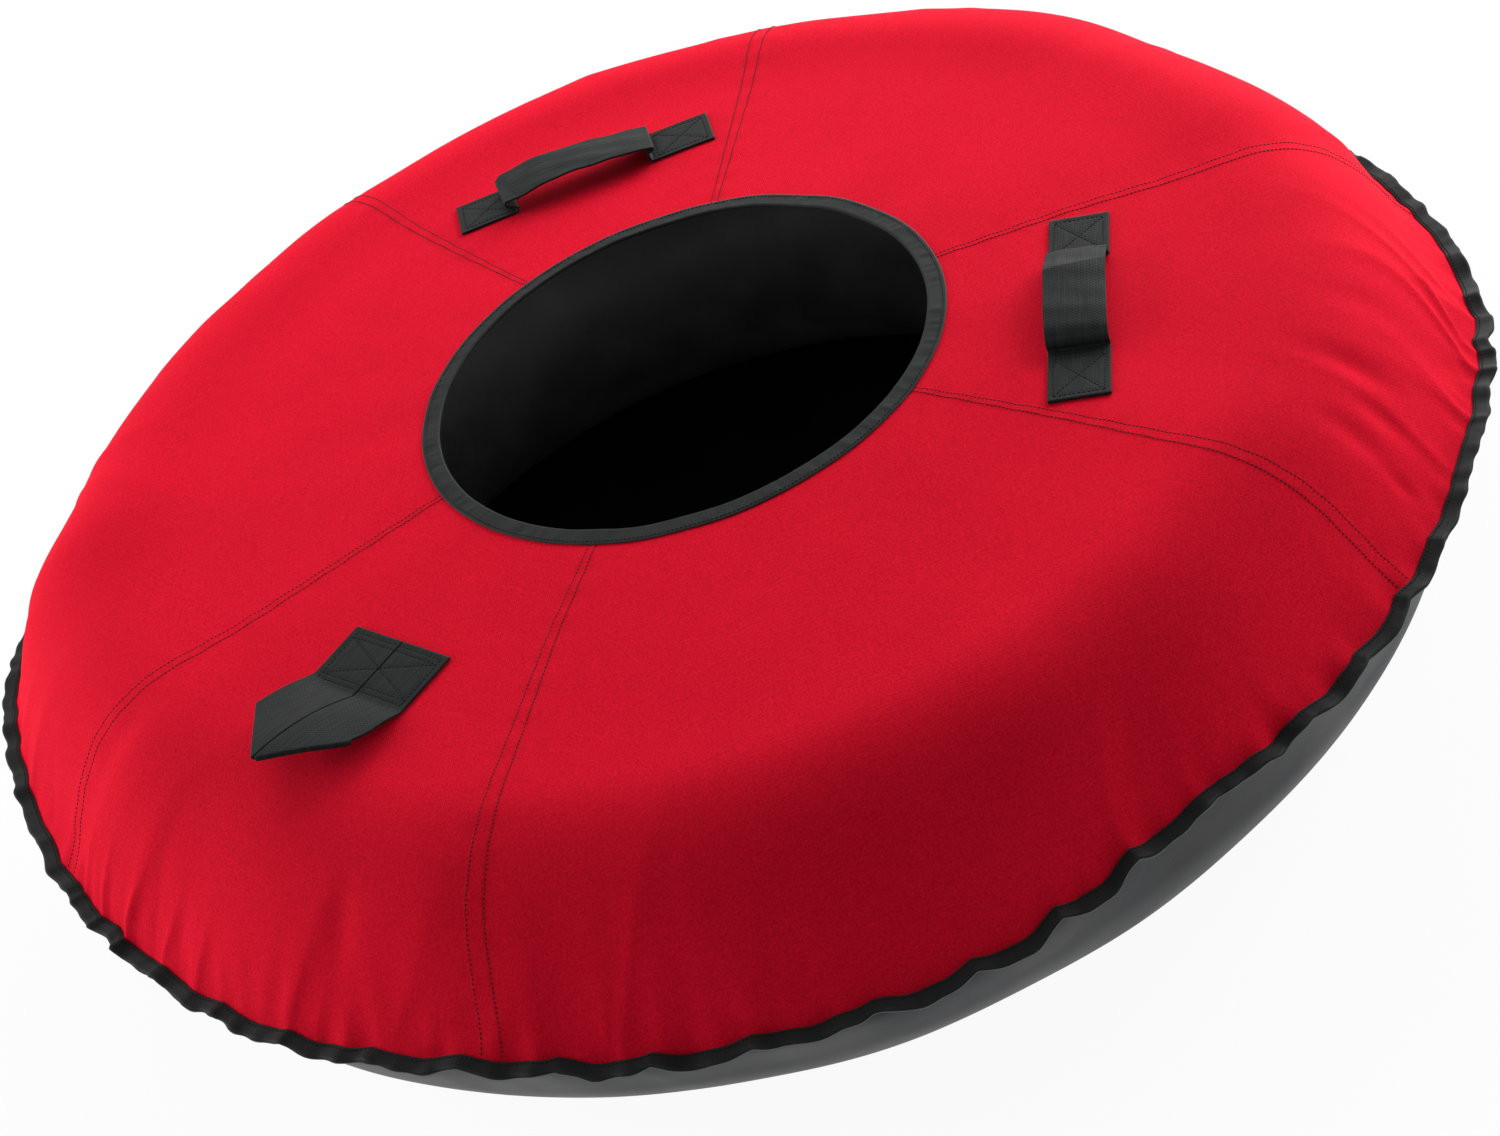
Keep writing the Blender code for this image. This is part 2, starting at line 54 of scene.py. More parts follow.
# The inflated tube and the cover that is drawn over it
RING = 446 * MM                # axis of the tube to the middle of its section
TUBE = 139 * MM                # radius of the section
TUBE_MIDDLE = sum(corner.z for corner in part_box("inner_tube")) / 2
TUBE_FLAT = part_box("inner_tube")[0].z
COVER_PRESS = 5 * MM           # the cover's broad dents press the tube in by up to this much
SIDE_PRESS = 15 * MM           # and its drawn-in side by so much more
TOP_FABRIC = 1.0 * MM
BOTTOM_FABRIC = 1.2 * MM
SLACK = 0.3 * MM               # between layers that touch
TOP_RADIUS = TUBE + SLACK + TOP_FABRIC
BOTTOM_RADIUS = TUBE + SLACK + BOTTOM_FABRIC
HOLE_EDGE = 202 * MM           # cut edge of the top cover, inside its binding
HOLE_SHIFT = 2.8 * MM          # the hole sits this far off the middle of the tube
HOLE_SHIFT_ANGLE = math.radians(301)
CONE = math.radians(86.6)      # the flat of the top rises 3.4 degrees towards the hole
SEAM = 602 * MM                # where top and bottom are sewn together
SEAM_MIDDLE = sum(corner.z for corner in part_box("edge_binding")) / 2
SEAM_TOP = SEAM_MIDDLE + 1.25 * MM
SEAM_BOTTOM = SEAM_MIDDLE - 1.3 * MM
FLANGE = 11 * MM               # seam allowance, covered by the binding
FLARE = 0.25                   # the flange's waves grow by this share out to its edge
HOLD = 14 * MM                 # the cloth near the seam follows the flange within this reach
DRAWN_IN = 10 * MM             # the bottom is cut small, so that it pulls the side of the tube in
HOLE_BINDING = 14.2 * MM       # visible width of the hole binding
HOLE_LESS = 2.8 * MM           # and how much less it is on the far side
FAR_SIDE = math.radians(120)   # azimuth where it is narrowest
HOLE_TAPE = 0.8 * MM           # thickness of the two bindings
EDGE_TAPE = 0.6 * MM
HOLE_ROW = 1.3 * MM            # width of tape from one row of points to the next, on the hole
EDGE_ROW = 1.4 * MM            # and on the edge
EDGE_FOLD = 13.9 * EDGE_ROW    # its pressed fold, low on its outer edge, which carries a painted highlight line
BINDING_SEWN = 3 * MM          # stitch rows of a binding, from its sewn edge

# Gores of the top, by the angle of the seam where each starts, in degrees
GORES = {
    "top_gore_back_right": 0.5,
    "top_gore_back_handle": 69.0,
    "top_gore_left": 115.2,
    "top_gore_tow_loop": 194.5,
    "top_gore_front": 239.5,
    "top_gore_right_handle": 315.0,
}
# How far the seam at the start of a gore strays from straight, in degrees, by its run from the hole in mm
SEAM_BENDS = {
    "top_gore_back_right": ((0, 0), (130, -0.1), (200, -1.0), (260, -1.5), (330, -1.1), (430, -0.2)),
    "top_gore_back_handle": ((0, 0),),
    "top_gore_left": ((0, 0.8), (120, 0.1), (260, -0.7), (430, -0.9)),
    "top_gore_tow_loop": ((0, 0), (180, 0), (270, -0.5), (335, -0.7), (375, -0.1), (430, 0.9)),
    "top_gore_front": ((0, 0.1), (100, -0.5), (190, 0.0), (280, 0.4), (350, 0.5), (430, 1.2)),
    "top_gore_right_handle": ((0, 0), (140, -0.2), (240, -0.6), (430, -0.6)),
}
FELL = math.radians(0.88)      # half of a felled seam, which spreads from the hole to the outer seam
FELL_ROW = math.radians(0.72)  # the two stitch rows of a felled seam
FELL_RISE = 0.2 * MM
FELL_STEP = math.radians(0.14)  # its edge rises over this width
FELL_FADE = math.radians(1.3)   # and it has sunk back to the gore this far past the middle of the seam
FELL_GROOVE = 0.2 * MM         # how deep the stitch rows pull it in
FELL_SIDE = math.radians(0.07)  # and how far to their sides
NARROW_FELLS = ("top_gore_back_right", "top_gore_left", "top_gore_tow_loop", "top_gore_right_handle")
NARROW_SHARE = 0.78            # width of their felled seams
TUCK = math.radians(0.35)      # the gore below reaches this far past the middle of the seam
# Columns of a gore at its first seam, in degrees: close where the cloth steps up and at the stitch rows
FELL_COLUMNS = (-0.88, -0.86, -0.83, -0.79, -0.76, -0.72, -0.68, -0.62, -0.5, -0.3, 0.0, 0.3, 0.5, 0.62,
                0.68, 0.72, 0.76, 0.82, 0.9, 1.0, 1.15)
GORE_STEP = 2.5 * MM           # width of its other columns at the outer seam

# Straps, in the directions lengthwise (along) and crosswise (across) of each
BACK_HANDLE = {"azimuth": 92.4, "radius": 335.7 * MM, "turn": -5.0}
RIGHT_HANDLE = {"azimuth": 337.2, "radius": 322 * MM, "turn": 5.0}
TOW_LOOP = {"azimuth": 217.5, "radius": 361.7 * MM, "turn": -90.0}
WEBBING = 2.0 * MM
WEBBING_WIDTH = 50 * MM
SEWN_DEPTH = 0.45 * MM         # how deep a stitch line pulls the webbing in
SEWN_REACH = 1.3 * MM          # and how far to its sides
TOW_BACK = 26 * MM             # middle of the tow loop's sewn part to its inner end
TOW_HINGE = 30 * MM            # and to the line where the free part bends up
TOW_BOX = (4.5 * MM - TOW_BACK, TOW_HINGE - 4 * MM)    # its sewn box, from end to end
TOW_SEWN = 45 * MM             # half the width of that box
TOW_SECOND = 5 * MM            # distance of its second end rows
TOW_SLIT = 1.0 * MM            # gap between its two strands
TOW_STRAND = 50 * MM           # free length of each strand up to the folded point
TOW_RISE = math.radians(26)
TOW_STRAIGHT = 15 * MM         # the free part droops from here on
TOW_DROOP = 200 * MM           # along a bend of this radius
TOW_RIDGE = 6 * MM             # its outer edges hang this far under its middle
TOW_TIP = 1.5 * MM             # blunt part of the folded point
TOW_ROUND = 3 * MM             # the right strand's corner at the fold is drawn in by this much
TOW_REACH = 9 * MM             # over this length
TOW_EARLY = 8 * MM             # the left strand's outer edge bends up this far before the hinge
TOW_LAID = 4 * MM              # the webbing still follows the cover this far past the hinge

# Middle of a handle's webbing at its inner and its outer edge, from end to end: along and height, in mm
BACK_GRIP_INNER = ((-116, 1), (-53, 1), (-79, 12.5), (-58, 14.5), (-28, 18.5), (0, 19.5), (29, 17.5),
                   (52, 15.5), (67, 12.6), (57, 9.2), (58.5, 1), (116, 1))
BACK_GRIP_OUTER = ((-116, 1), (-56, 1), (-78, 8), (-72, 15), (-38, 19.5), (0, 17.5), (29, 14), (52, 12),
                   (66, 9.6), (57.5, 7.2), (59.5, 1), (116, 1))
RIGHT_GRIP_INNER = ((-116, 1), (-53, 1), (-57, 9), (-46, 14), (-24, 17), (0, 18), (23, 18.8), (44, 14),
                    (60, 9.8), (56, 5.5), (59, 1), (116, 1))
RIGHT_GRIP_OUTER = ((-116, 1), (-53, 1), (-57, 7.5), (-45, 12), (-24, 14), (0, 14), (34, 15), (46, 12),
                    (60, 9.2), (56.5, 5), (59.5, 1), (116, 1))
# Radius at each corner of those lines in mm, and steps of each straight between them
BACK_INNER_RADII = (2.6, 2.4, 60, 90, 90, 90, 60, 2.4, 2.4, 2.6)
BACK_OUTER_RADII = (2.6, 5, 14, 90, 90, 90, 60, 3.4, 2.4, 2.6)
RIGHT_RADII = (2.6, 4, 30, 60, 90, 4, 40, 2.4, 2.4, 2.6)
GRIP_STEPS = (34, 9, 8, 10, 9, 10, 9, 7, 6, 5, 34)
# Sewn box at a handle's end, and the row of stitches beside it, from the middle of the handle
HANDLE_BOX = (66 * MM, 111 * MM)
HANDLE_ROW = 62 * MM
HANDLE_SEWN = 19.5 * MM        # half the width that is sewn
HANDLE_FLAT = 1.2 * MM         # the webbing is sewn down where its middle is below this height
HANDLE_FREE = 3 * MM           # and free above this one

# Stitching
STITCH_PITCH = 3.4 * MM
STITCH_LENGTH = 2.0 * MM
THREAD = 0.4 * MM              # radius, drawn a little heavy so that it shows
THREAD_LIFT = 0.4 * THREAD     # middle of a stitch over the cloth
# Sections of a stitch: share of its length, and height and radius in thread radii
STITCH_SECTIONS = ((0, -0.7, 0.5), (0.12, 0.25, 0.9), (0.5, 0.75, 1), (0.88, 0.25, 0.9), (1, -0.7, 0.5))
STITCH_SIDES = 6
STITCH_CAPS = ((3, 2, 1, 0), (5, 4, 3, 0)), ((0, 1, 2, 3), (0, 3, 4, 5))

# Soft lights round the tube: azimuth and elevation in degrees, width and height in metres, and the brightness
# of a white face square to it
LIGHTS = {
    "back_right_softbox": (50, 17, 3.4, 2.4, 1.02),
    "left_softbox": (160, 17, 3.4, 2.4, 0.92),
    "front_left_softbox": (228, 8, 2.4, 1.2, 0.08),
    "back_softbox": (95, 42, 3.4, 2.6, 0.4),
    "right_softbox": (16, 18, 2.0, 2.0, 0.6),
    "front_right_softbox": (312, 14, 2.0, 1.6, 0.08),
}
LIGHT_DISTANCE = 4.5
WORLD_STRENGTH = 0.13
CAMERA_PLACE = (-8.5 * MM, -2294.8 * MM, 1805.7 * MM)
CAMERA_TILT = 0.64547          # down from level, radians
CAMERA_ROLL = 0.38165
CAMERA_LENS = 84               # millimetres, on a sensor 36 mm wide
FLOOR_REACH = 12.0             # metres to each side
FLOOR_DROP = 0.5 * MM          # below the tube, so that the two never share a plane
FLOOR_PLAIN = 0.94             # share of the floor's own white, the rest shows the tube's shadow


def touching_angle(radius, height, side):
    """Where a line from a point touches the cover's round section of that radius, above (1) or below (-1)."""
    out, up = SEAM - RING, height - TUBE_MIDDLE
    return math.atan2(up, out) + side * math.acos(radius / math.hypot(out, up))


TOP_SIDE = touching_angle(TOP_RADIUS, SEAM_TOP, 1)
BOTTOM_SIDE = touching_angle(BOTTOM_RADIUS, SEAM_BOTTOM, -1)
TOP_FLAT_RUN = (RING + TOP_RADIUS * math.cos(CONE) - HOLE_EDGE) / math.sin(CONE)
TOP_SIDE_RUN = math.sqrt((SEAM - RING) ** 2 + (SEAM_TOP - TUBE_MIDDLE) ** 2 - TOP_RADIUS**2)
TOP_RUN = TOP_FLAT_RUN + (CONE - TOP_SIDE) * TOP_RADIUS + TOP_SIDE_RUN
BOTTOM_SIDE_RUN = math.sqrt((SEAM - RING) ** 2 + (SEAM_BOTTOM - TUBE_MIDDLE) ** 2 - BOTTOM_RADIUS**2)
BOTTOM_RUN = BOTTOM_SIDE_RUN + (math.pi / 2 + BOTTOM_SIDE) * BOTTOM_RADIUS


def wrapped(run, straight, first, last, radius):
    """Radius, height and lean of the normal along cloth that runs straight, round the tube, then straight."""
    lean = np.clip(first - (run - straight) / radius, last, first)
    beyond = run - straight - (first - lean) * radius
    out = RING + radius * np.cos(lean) + np.sin(lean) * beyond
    up = TUBE_MIDDLE + radius * np.sin(lean) - np.cos(lean) * beyond
    return out, up, lean


def top_profile(run):
    """Outer face of the top cover at a run from the edge of the hole. Past the seam it is the flange."""
    out, up, lean = wrapped(run, TOP_FLAT_RUN, CONE, TOP_SIDE, TOP_RADIUS)
    past = run > TOP_RUN
    out = np.where(past, SEAM + run - TOP_RUN, out)
    return out, np.where(past, SEAM_TOP, up), np.where(past, math.pi / 2, lean)


def bottom_profile(run):
    """Outer face of the bottom cover at a run from the seam. Before the seam it is the flange."""
    out, up, lean = wrapped(run, BOTTOM_SIDE_RUN, BOTTOM_SIDE, -math.pi / 2, BOTTOM_RADIUS)
    before = run < 0
    up = np.where(before, SEAM_BOTTOM, np.maximum(up, 0))
    return np.where(before, SEAM - run, out), up, np.where(before, -math.pi / 2, lean)


# Folds and wrinkles of the cloth

# Where the cloth is drawn up round the tube: angle in degrees, share of the gathers' height, share of the
# flange's waves
STRENGTH = ((0, 1.1, 1.1), (30, 1.0, 1.1), (60, 0.8, 0.9), (110, 0.8, 0.9), (160, 1.0, 1.3), (190, 0.9, 1.1),
            (202, 0.95, 1.1), (232, 1.15, 1.1), (246, 0.9, 1.2), (262, 0.45, 1.5), (300, 0.45, 1.4),
            (312, 0.4, 0.9), (326, 0.7, 1.0), (345, 1.1, 1.2), (360, 1.1, 1.1))
STRENGTH_ANGLES, GATHER_SHARES, WAVE_SHARES = zip(*STRENGTH)
# Single strong folds: angle in degrees, half width, length and height in mm, slant, bend per metre
STRONG_FOLDS = (
    (198.4, 3.0, 44, 2.2, 0.05, 0.0),
    (201.6, 2.8, 54, 3.0, 0.06, 0.0),
    (205.2, 2.8, 60, 3.4, 0.22, 0.5),
    (210.2, 3.2, 50, 2.6, 0.20, 0.0),
    (214.6, 3.6, 56, 2.0, 0.10, 0.0),
    (224.0, 4.5, 64, 1.8, 0.08, 0.0),
    (331.5, 5.0, 70, 1.8, 0.30, 0.0),
    (336.6, 4.0, 94, 3.2, 1.05, -4.5),
    (339.0, 4.0, 98, 3.2, 0.95, -1.5),
    (343.5, 5.0, 84, 2.0, 0.80, -1.0),
)
# Soft dents: angle in degrees, then in mm the reach from the seam, the size along and across, the depth
SOFT_DENTS = (
    (336.5, 112, 34, 16, 1.6),
    (328.8, 104, 30, 11, 2.6),
    (325.4, 72, 24, 10, 2.4),
    (321.9, 86, 30, 11, 2.4),
    (321.2, 38, 17, 7, 1.8),
    (196.8, 118, 40, 14, 1.6),
    (228.5, 80, 32, 12, 2.2),
)
GATHER_SPACING = 25 * MM
FLANGE_REACH = 10 * MM         # the flange takes up the gathers as they are at this reach from the seam

# The tube is not quite round and the seam not quite level. Each table has angles in degrees and millimetres:
# how far the seam stands out, how far up, and how far the top billows between its flat part and the seam
OUT_TABLE = ((0, -7), (10, -17), (20, -17), (30, -8), (40, -1), (60, 1), (145, 0), (158, -1), (170, 11),
             (180, 5), (192, 0), (208, -2), (225, 6), (245, 5), (270, 8), (290, -9), (310, -6), (330, -5),
             (342, -2))
UP_TABLE = ((0, -8), (60, -8), (120, 5), (180, 8), (205, -1), (222, 0), (240, 2), (252, -8), (275, -8),
            (288, 5), (302, 0), (330, 2))
BILLOW_TABLE = ((0, 7), (7, 14), (17, 6), (28, 6), (40, 11), (60, 9), (90, 12), (120, 10), (140, 9),
                (155, 10), (167, 15), (180, 5), (192, 7), (206, 4), (220, 2), (330, 2))
TURN = np.linspace(0, 2 * math.pi, 7201)
SMOOTHING = 201                # steps of TURN that a table is smoothed over


def smooth(share):
    """Eases from 0 to 1 as the share does."""
    share = np.clip(share, 0, 1)
    return share * share * (3 - 2 * share)


def bell(distance, size):
    """1 at no distance, and near 0 beyond a few sizes."""
    return np.exp(-((distance / size) ** 2))


def wrap_angle(angle):
    """The same angle, within half a turn of 0."""
    return (angle + math.pi) % (2 * math.pi) - math.pi


def once_round(table):
    """Smooth values at the places of TURN from a table of angles and millimetres."""
    angles, values = zip(*table)
    line = np.interp(np.degrees(TURN[:-1]), angles + (360,), values + values[:1]) * MM
    weights = np.hanning(SMOOTHING)
    half = SMOOTHING // 2
    line = np.convolve(np.concatenate([line[-half:], line, line[:half]]), weights / weights.sum(), "valid")
    return np.append(line, line[0])


SEAM_OUT, SEAM_UP, BILLOW = (once_round(table) for table in (OUT_TABLE, UP_TABLE, BILLOW_TABLE))


def make_gathers(seed):
    """Gathers of the seam: place, half width, length, height, slant and bend of each, with a fixed seed."""
    rng = np.random.default_rng(seed)
    count = round(2 * math.pi * SEAM / GATHER_SPACING)
    places = (np.arange(count) + rng.uniform(-0.42, 0.42, count)) * 2 * math.pi / count
    widths = rng.uniform(4.5, 9, count) * MM
    lengths = np.clip(rng.lognormal(math.log(62), 0.45, count), 32, 170) * MM
    heights = rng.uniform(0.5, 1.0, count) * np.where(rng.random(count) < 0.35, -1.5, 2.2) * MM
    heights = heights * np.interp(np.degrees(places), STRENGTH_ANGLES, GATHER_SHARES)
    slants = rng.normal(0, 0.16, count)
    bends = rng.normal(0, 1.5, count)
    return list(zip(places, widths, lengths, heights, slants, bends))


GATHERS = make_gathers(11) + [
    (math.radians(place), width * MM, length * MM, rise * MM, slant, bend)
    for place, width, length, rise, slant, bend in STRONG_FOLDS
]
BOTTOM_GATHERS = [
    (place, 1.5 * width, 0.7 * length, 0.6 * rise, slant, bend)
    for place, width, length, rise, slant, bend in GATHERS
]


def gather_height(azimuth, reach, radius, gathers):
    """Height of all the gathers at columns of an azimuth and rows of a reach from the seam."""
    shape = np.broadcast_shapes(azimuth.shape, reach.shape)
    height = np.zeros(shape)
    reach = np.broadcast_to(reach, shape)
    radius = np.broadcast_to(radius, shape)
    for place, width, length, rise, slant, bend in gathers:
        span = (6 * width + (abs(slant) + abs(bend) * length) * 2 * length + length * 0.4) / SEAM
        near = np.abs(wrap_angle(azimuth[:, 0] - place)) < span
        depth = reach[near]
        across = wrap_angle(azimuth[near] - place) * radius[near] - (slant + bend * depth) * depth
        spread = width * (1 + 1.3 * depth / length)
        along = bell(depth, length) * (0.45 + 0.55 * (1 - np.exp(-depth / (9 * MM))))
        height[near] += rise * along * np.exp(-(np.abs(across / spread) ** 1.6))
    return height


def swell(azimuth, run, seed, waves, shortest, longest):
    """Broad uneven waves with a peak near 1, from a few cosines that close round the tube."""
    rng = np.random.default_rng(seed)
    total = 0
    for _ in range(waves):
        length = math.exp(rng.uniform(math.log(shortest), math.log(longest)))
        heading = rng.uniform(0, math.pi)
        turns = round(2 * math.pi * SEAM / length * math.cos(heading))
        rate = 2 * math.pi / length * math.sin(heading)
        total = total + np.cos(turns * azimuth + rate * run + rng.uniform(0, 2 * math.pi))
    return total / math.sqrt(waves)


def around_wave(seed, waves, shortest, longest):
    """Uneven waves with a peak near 1 that run round the tube and close."""
    rng = np.random.default_rng(seed)
    total = 0
    for _ in range(waves):
        turns = round(2 * math.pi * SEAM / math.exp(rng.uniform(math.log(shortest), math.log(longest))))
        total = total + np.cos(turns * TURN + rng.uniform(0, 2 * math.pi))
    return total / math.sqrt(waves)


def flange_wave():
    """How far the puckered flange stands out and up: the gathers just inside the seam, and ripples."""
    rise = gather_height(TURN[:, None], np.array([[FLANGE_REACH]]), np.array([[SEAM]]), GATHERS)[:, 0]
    ripple = around_wave(21, 9, 26 * MM, 60 * MM)
    scallop = np.abs(around_wave(23, 5, 90 * MM, 180 * MM))
    strength = np.interp(np.degrees(TURN), STRENGTH_ANGLES, WAVE_SHARES)
    up = 0.8 * rise + (0.6 * ripple - 2.4 * scallop) * MM * strength
    out = 0.6 * rise + (0.6 * np.roll(ripple, 12) + 1.6 * scallop) * MM * strength
    return out - out.mean(), up - up.mean()


WAVE_OUT, WAVE_UP = flange_wave()


def top_relief(azimuth, run):
    """How far the top cover stands off its smooth shape: gathers, dents, broad waves, puckers at the hole."""
    reach = TOP_RUN - run
    radius = top_profile(run)[0]
    relief = gather_height(azimuth, np.maximum(reach, 0), radius, GATHERS)
    for place, centre, along, across, depth in SOFT_DENTS:
        side = wrap_angle(azimuth - math.radians(place)) * radius
        relief = relief - depth * MM * bell(side, across * MM) * bell(reach - centre * MM, along * MM)
    side_share = smooth((220 * MM - reach) / (160 * MM))
    relief = relief + (0.35 + 1.5 * side_share) * MM * swell(azimuth, run, 5, 12, 120 * MM, 420 * MM)
    relief = relief + 0.3 * MM * bell(run, 34 * MM) * swell(azimuth, run / 4, 8, 9, 200 * MM, 520 * MM)
    for start in GORES.values():
        side = wrap_angle(azimuth - math.radians(start)) * radius
        pucker = 0.35 * MM * np.cos(run * 2 * math.pi / (31 * MM) + start)
        relief = relief + pucker * bell(side, 13 * MM) - 0.9 * MM * side_share * bell(side, 28.6 * MM)
    return relief


def turned(azimuth, radius, height):
    """Points at a radius and a height, turned by the azimuth."""
    azimuth, radius, height = np.broadcast_arrays(azimuth, radius, height)
    return np.stack([radius * np.cos(azimuth), radius * np.sin(azimuth), height], axis=-1)


def round_at(azimuth, *lines):
    """Values of lines that go once round, at an azimuth."""
    return [np.interp(azimuth % (2 * math.pi), TURN, line) for line in lines]


def cover_points(azimuth, profile, stand, wave_share, seam_share, shift=0):
    """Points that stand off a profile, with their share of the flange's waves and of the seam's wander."""
    out, up, lean = profile
    wave_out, wave_up, seam_out, seam_up = round_at(azimuth, WAVE_OUT, WAVE_UP, SEAM_OUT, SEAM_UP)
    radius = out + np.cos(lean) * stand + wave_out * wave_share + seam_out * seam_share + shift
    height = up + np.sin(lean) * stand + wave_up * wave_share + seam_up * seam_share
    return turned(azimuth, radius, height)


def flared(beyond):
    """Share of the flange's waves at a reach beyond the seam."""
    return 1 + FLARE * np.clip(beyond / FLANGE, 0, 1)


def top_points(azimuth, run, lift):
    """Points over the top cover at a lift from its outer face, with the cloth's folds."""
    reach = np.maximum(TOP_RUN - run, 0)
    hold = bell(reach, HOLD)
    billow = round_at(azimuth, BILLOW)[0]
    billow = billow * smooth((run - TOP_FLAT_RUN + 60 * MM) / (140 * MM)) * smooth(reach / (70 * MM))
    stand = top_relief(azimuth, run) * (1 - hold) + billow + lift
    seam_share = smooth(1 - reach / (TOP_RUN - TOP_FLAT_RUN - 17 * MM))
    shift = HOLE_SHIFT * np.cos(azimuth - HOLE_SHIFT_ANGLE) * smooth(1 - run / (100 * MM))
    return cover_points(azimuth, top_profile(run), stand, hold * flared(run - TOP_RUN), seam_share, shift)


def bottom_points(azimuth, run, lift):
    """Points over the bottom cover at a lift from its outer face."""
    profile = bottom_profile(run)
    reach = np.maximum(run, 0)
    hold = bell(reach, HOLD)
    side_share = smooth((BOTTOM_RUN - 40 * MM - reach) / (60 * MM))
    relief = gather_height(azimuth, reach, profile[0], BOTTOM_GATHERS)
    relief = relief + 1.3 * MM * side_share * swell(azimuth, run, 15, 10, 110 * MM, 360 * MM)
    drawn = DRAWN_IN * np.sin(math.pi * np.clip(run / BOTTOM_RUN, 0, 1)) ** 1.5
    stand = relief * (1 - hold) * side_share - drawn + lift
    return cover_points(azimuth, profile, stand, hold * flared(-run), smooth(1 - reach / (160 * MM)))


# Meshes

def add_piece(name, points, faces, cloth, material):
    """One smooth closed mesh, turned to face out.

    faces is a list of arrays of corners, four to a face in the first one, and cloth has each corner's place
    on the flat cloth.
    """
    points = points.reshape(-1, 3)
    first, second, third, last = (points[faces[0][:, k]] for k in range(4))
    if np.einsum("ij,ij->", first, np.cross(second, third) + np.cross(third, last)) < 0:
        faces, cloth = ([group[:, ::-1] for group in part] for part in (faces, cloth))
    corners = np.concatenate([group.ravel() for group in faces])
    sizes = np.concatenate([np.full(len(group), group.shape[1]) for group in faces])
    places = np.concatenate([place.reshape(-1, 2) for place in cloth])
    mesh = bpy.data.meshes.new(name)
    mesh.vertices.add(len(points))
    mesh.vertices.foreach_set("co", points.astype(np.float32).ravel())
    mesh.loops.add(len(corners))
    mesh.loops.foreach_set("vertex_index", corners.astype(np.int32))
    mesh.polygons.add(len(sizes))
    mesh.polygons.foreach_set("loop_start", (np.cumsum(sizes) - sizes).astype(np.int32))
    mesh.polygons.foreach_set("use_smooth", np.ones(len(sizes), bool))
    mesh.update(calc_edges=True)
    mesh.uv_layers.new(name="cloth").data.foreach_set("uv", places.astype(np.float32).ravel())
    mesh.materials.append(material)
    piece = bpy.data.objects.new(name, mesh)
    bpy.context.scene.collection.objects.link(piece)
    return piece


def keep_on_cover(piece, slot, *nodes):
    """The piece moves with the cover and stands for the nodes, which it hides. The slot is not used."""
    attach(piece, "cover")
    if nodes:
        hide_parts(*nodes)


def columns_of(count):
    """Azimuths of the columns of a ring."""
    return (np.arange(count) * 2 * math.pi / count)[:, None]


def flat_cloth(along, across):
    """Places on the flat cloth of columns and rows."""
    return np.stack(np.meshgrid(along, across, indexing="ij"), axis=-1)


QUAD = ((0, 0), (1, 0), (1, 1), (0, 1))


def ring_quads(columns, rows, column, row):
    """Corners of the faces between sections of so many rows, from the column and row where each starts."""
    return np.stack([(column + i) % columns * rows + (row + j) % rows for i, j in QUAD], axis=1)


def sweep(name, points, cloth, material, around):
    """A closed body from columns of closed sections. It runs round and meets itself, or its ends are capped.

    points has one section per column. cloth has the same columns and rows, with one more row for the closing
    face, and one more column where the body runs round.
    """
    columns, rows = points.shape[:2]
    column, row = np.indices((columns if around else columns - 1, rows)).reshape(2, -1)
    quads = ring_quads(columns, rows, column, row)
    places = np.stack([cloth[column + i, row + j] for i, j in QUAD], axis=1)
    if not around:
        row = np.arange(rows // 2 - 1)
        for base, order in ((0, 1), (columns - 1, -1)):
            cap = np.stack([row, row + 1, rows - 2 - row, rows - 1 - row], axis=1)[:, ::order]
            quads = np.concatenate([quads, base * rows + cap])
            places = np.concatenate([places, cloth[base, cap]])
    return add_piece(name, points, [quads], [places], material)


def shell(name, outer, inner, cloth, material, around=False):
    """Cloth with a real thickness, between an outer and an inner face of columns and rows of points."""
    points = np.concatenate([outer, inner[:, ::-1]], axis=1)
    both = np.concatenate([cloth, cloth[:, ::-1], cloth[:, :1]], axis=1)
    return sweep(name, points, both, material, around)


def upright(points, side=1.0):
    """A stitch row on cloth that faces up, or down (-1)."""
    return points, np.tile([0.0, 0.0, side], (len(points), 1))


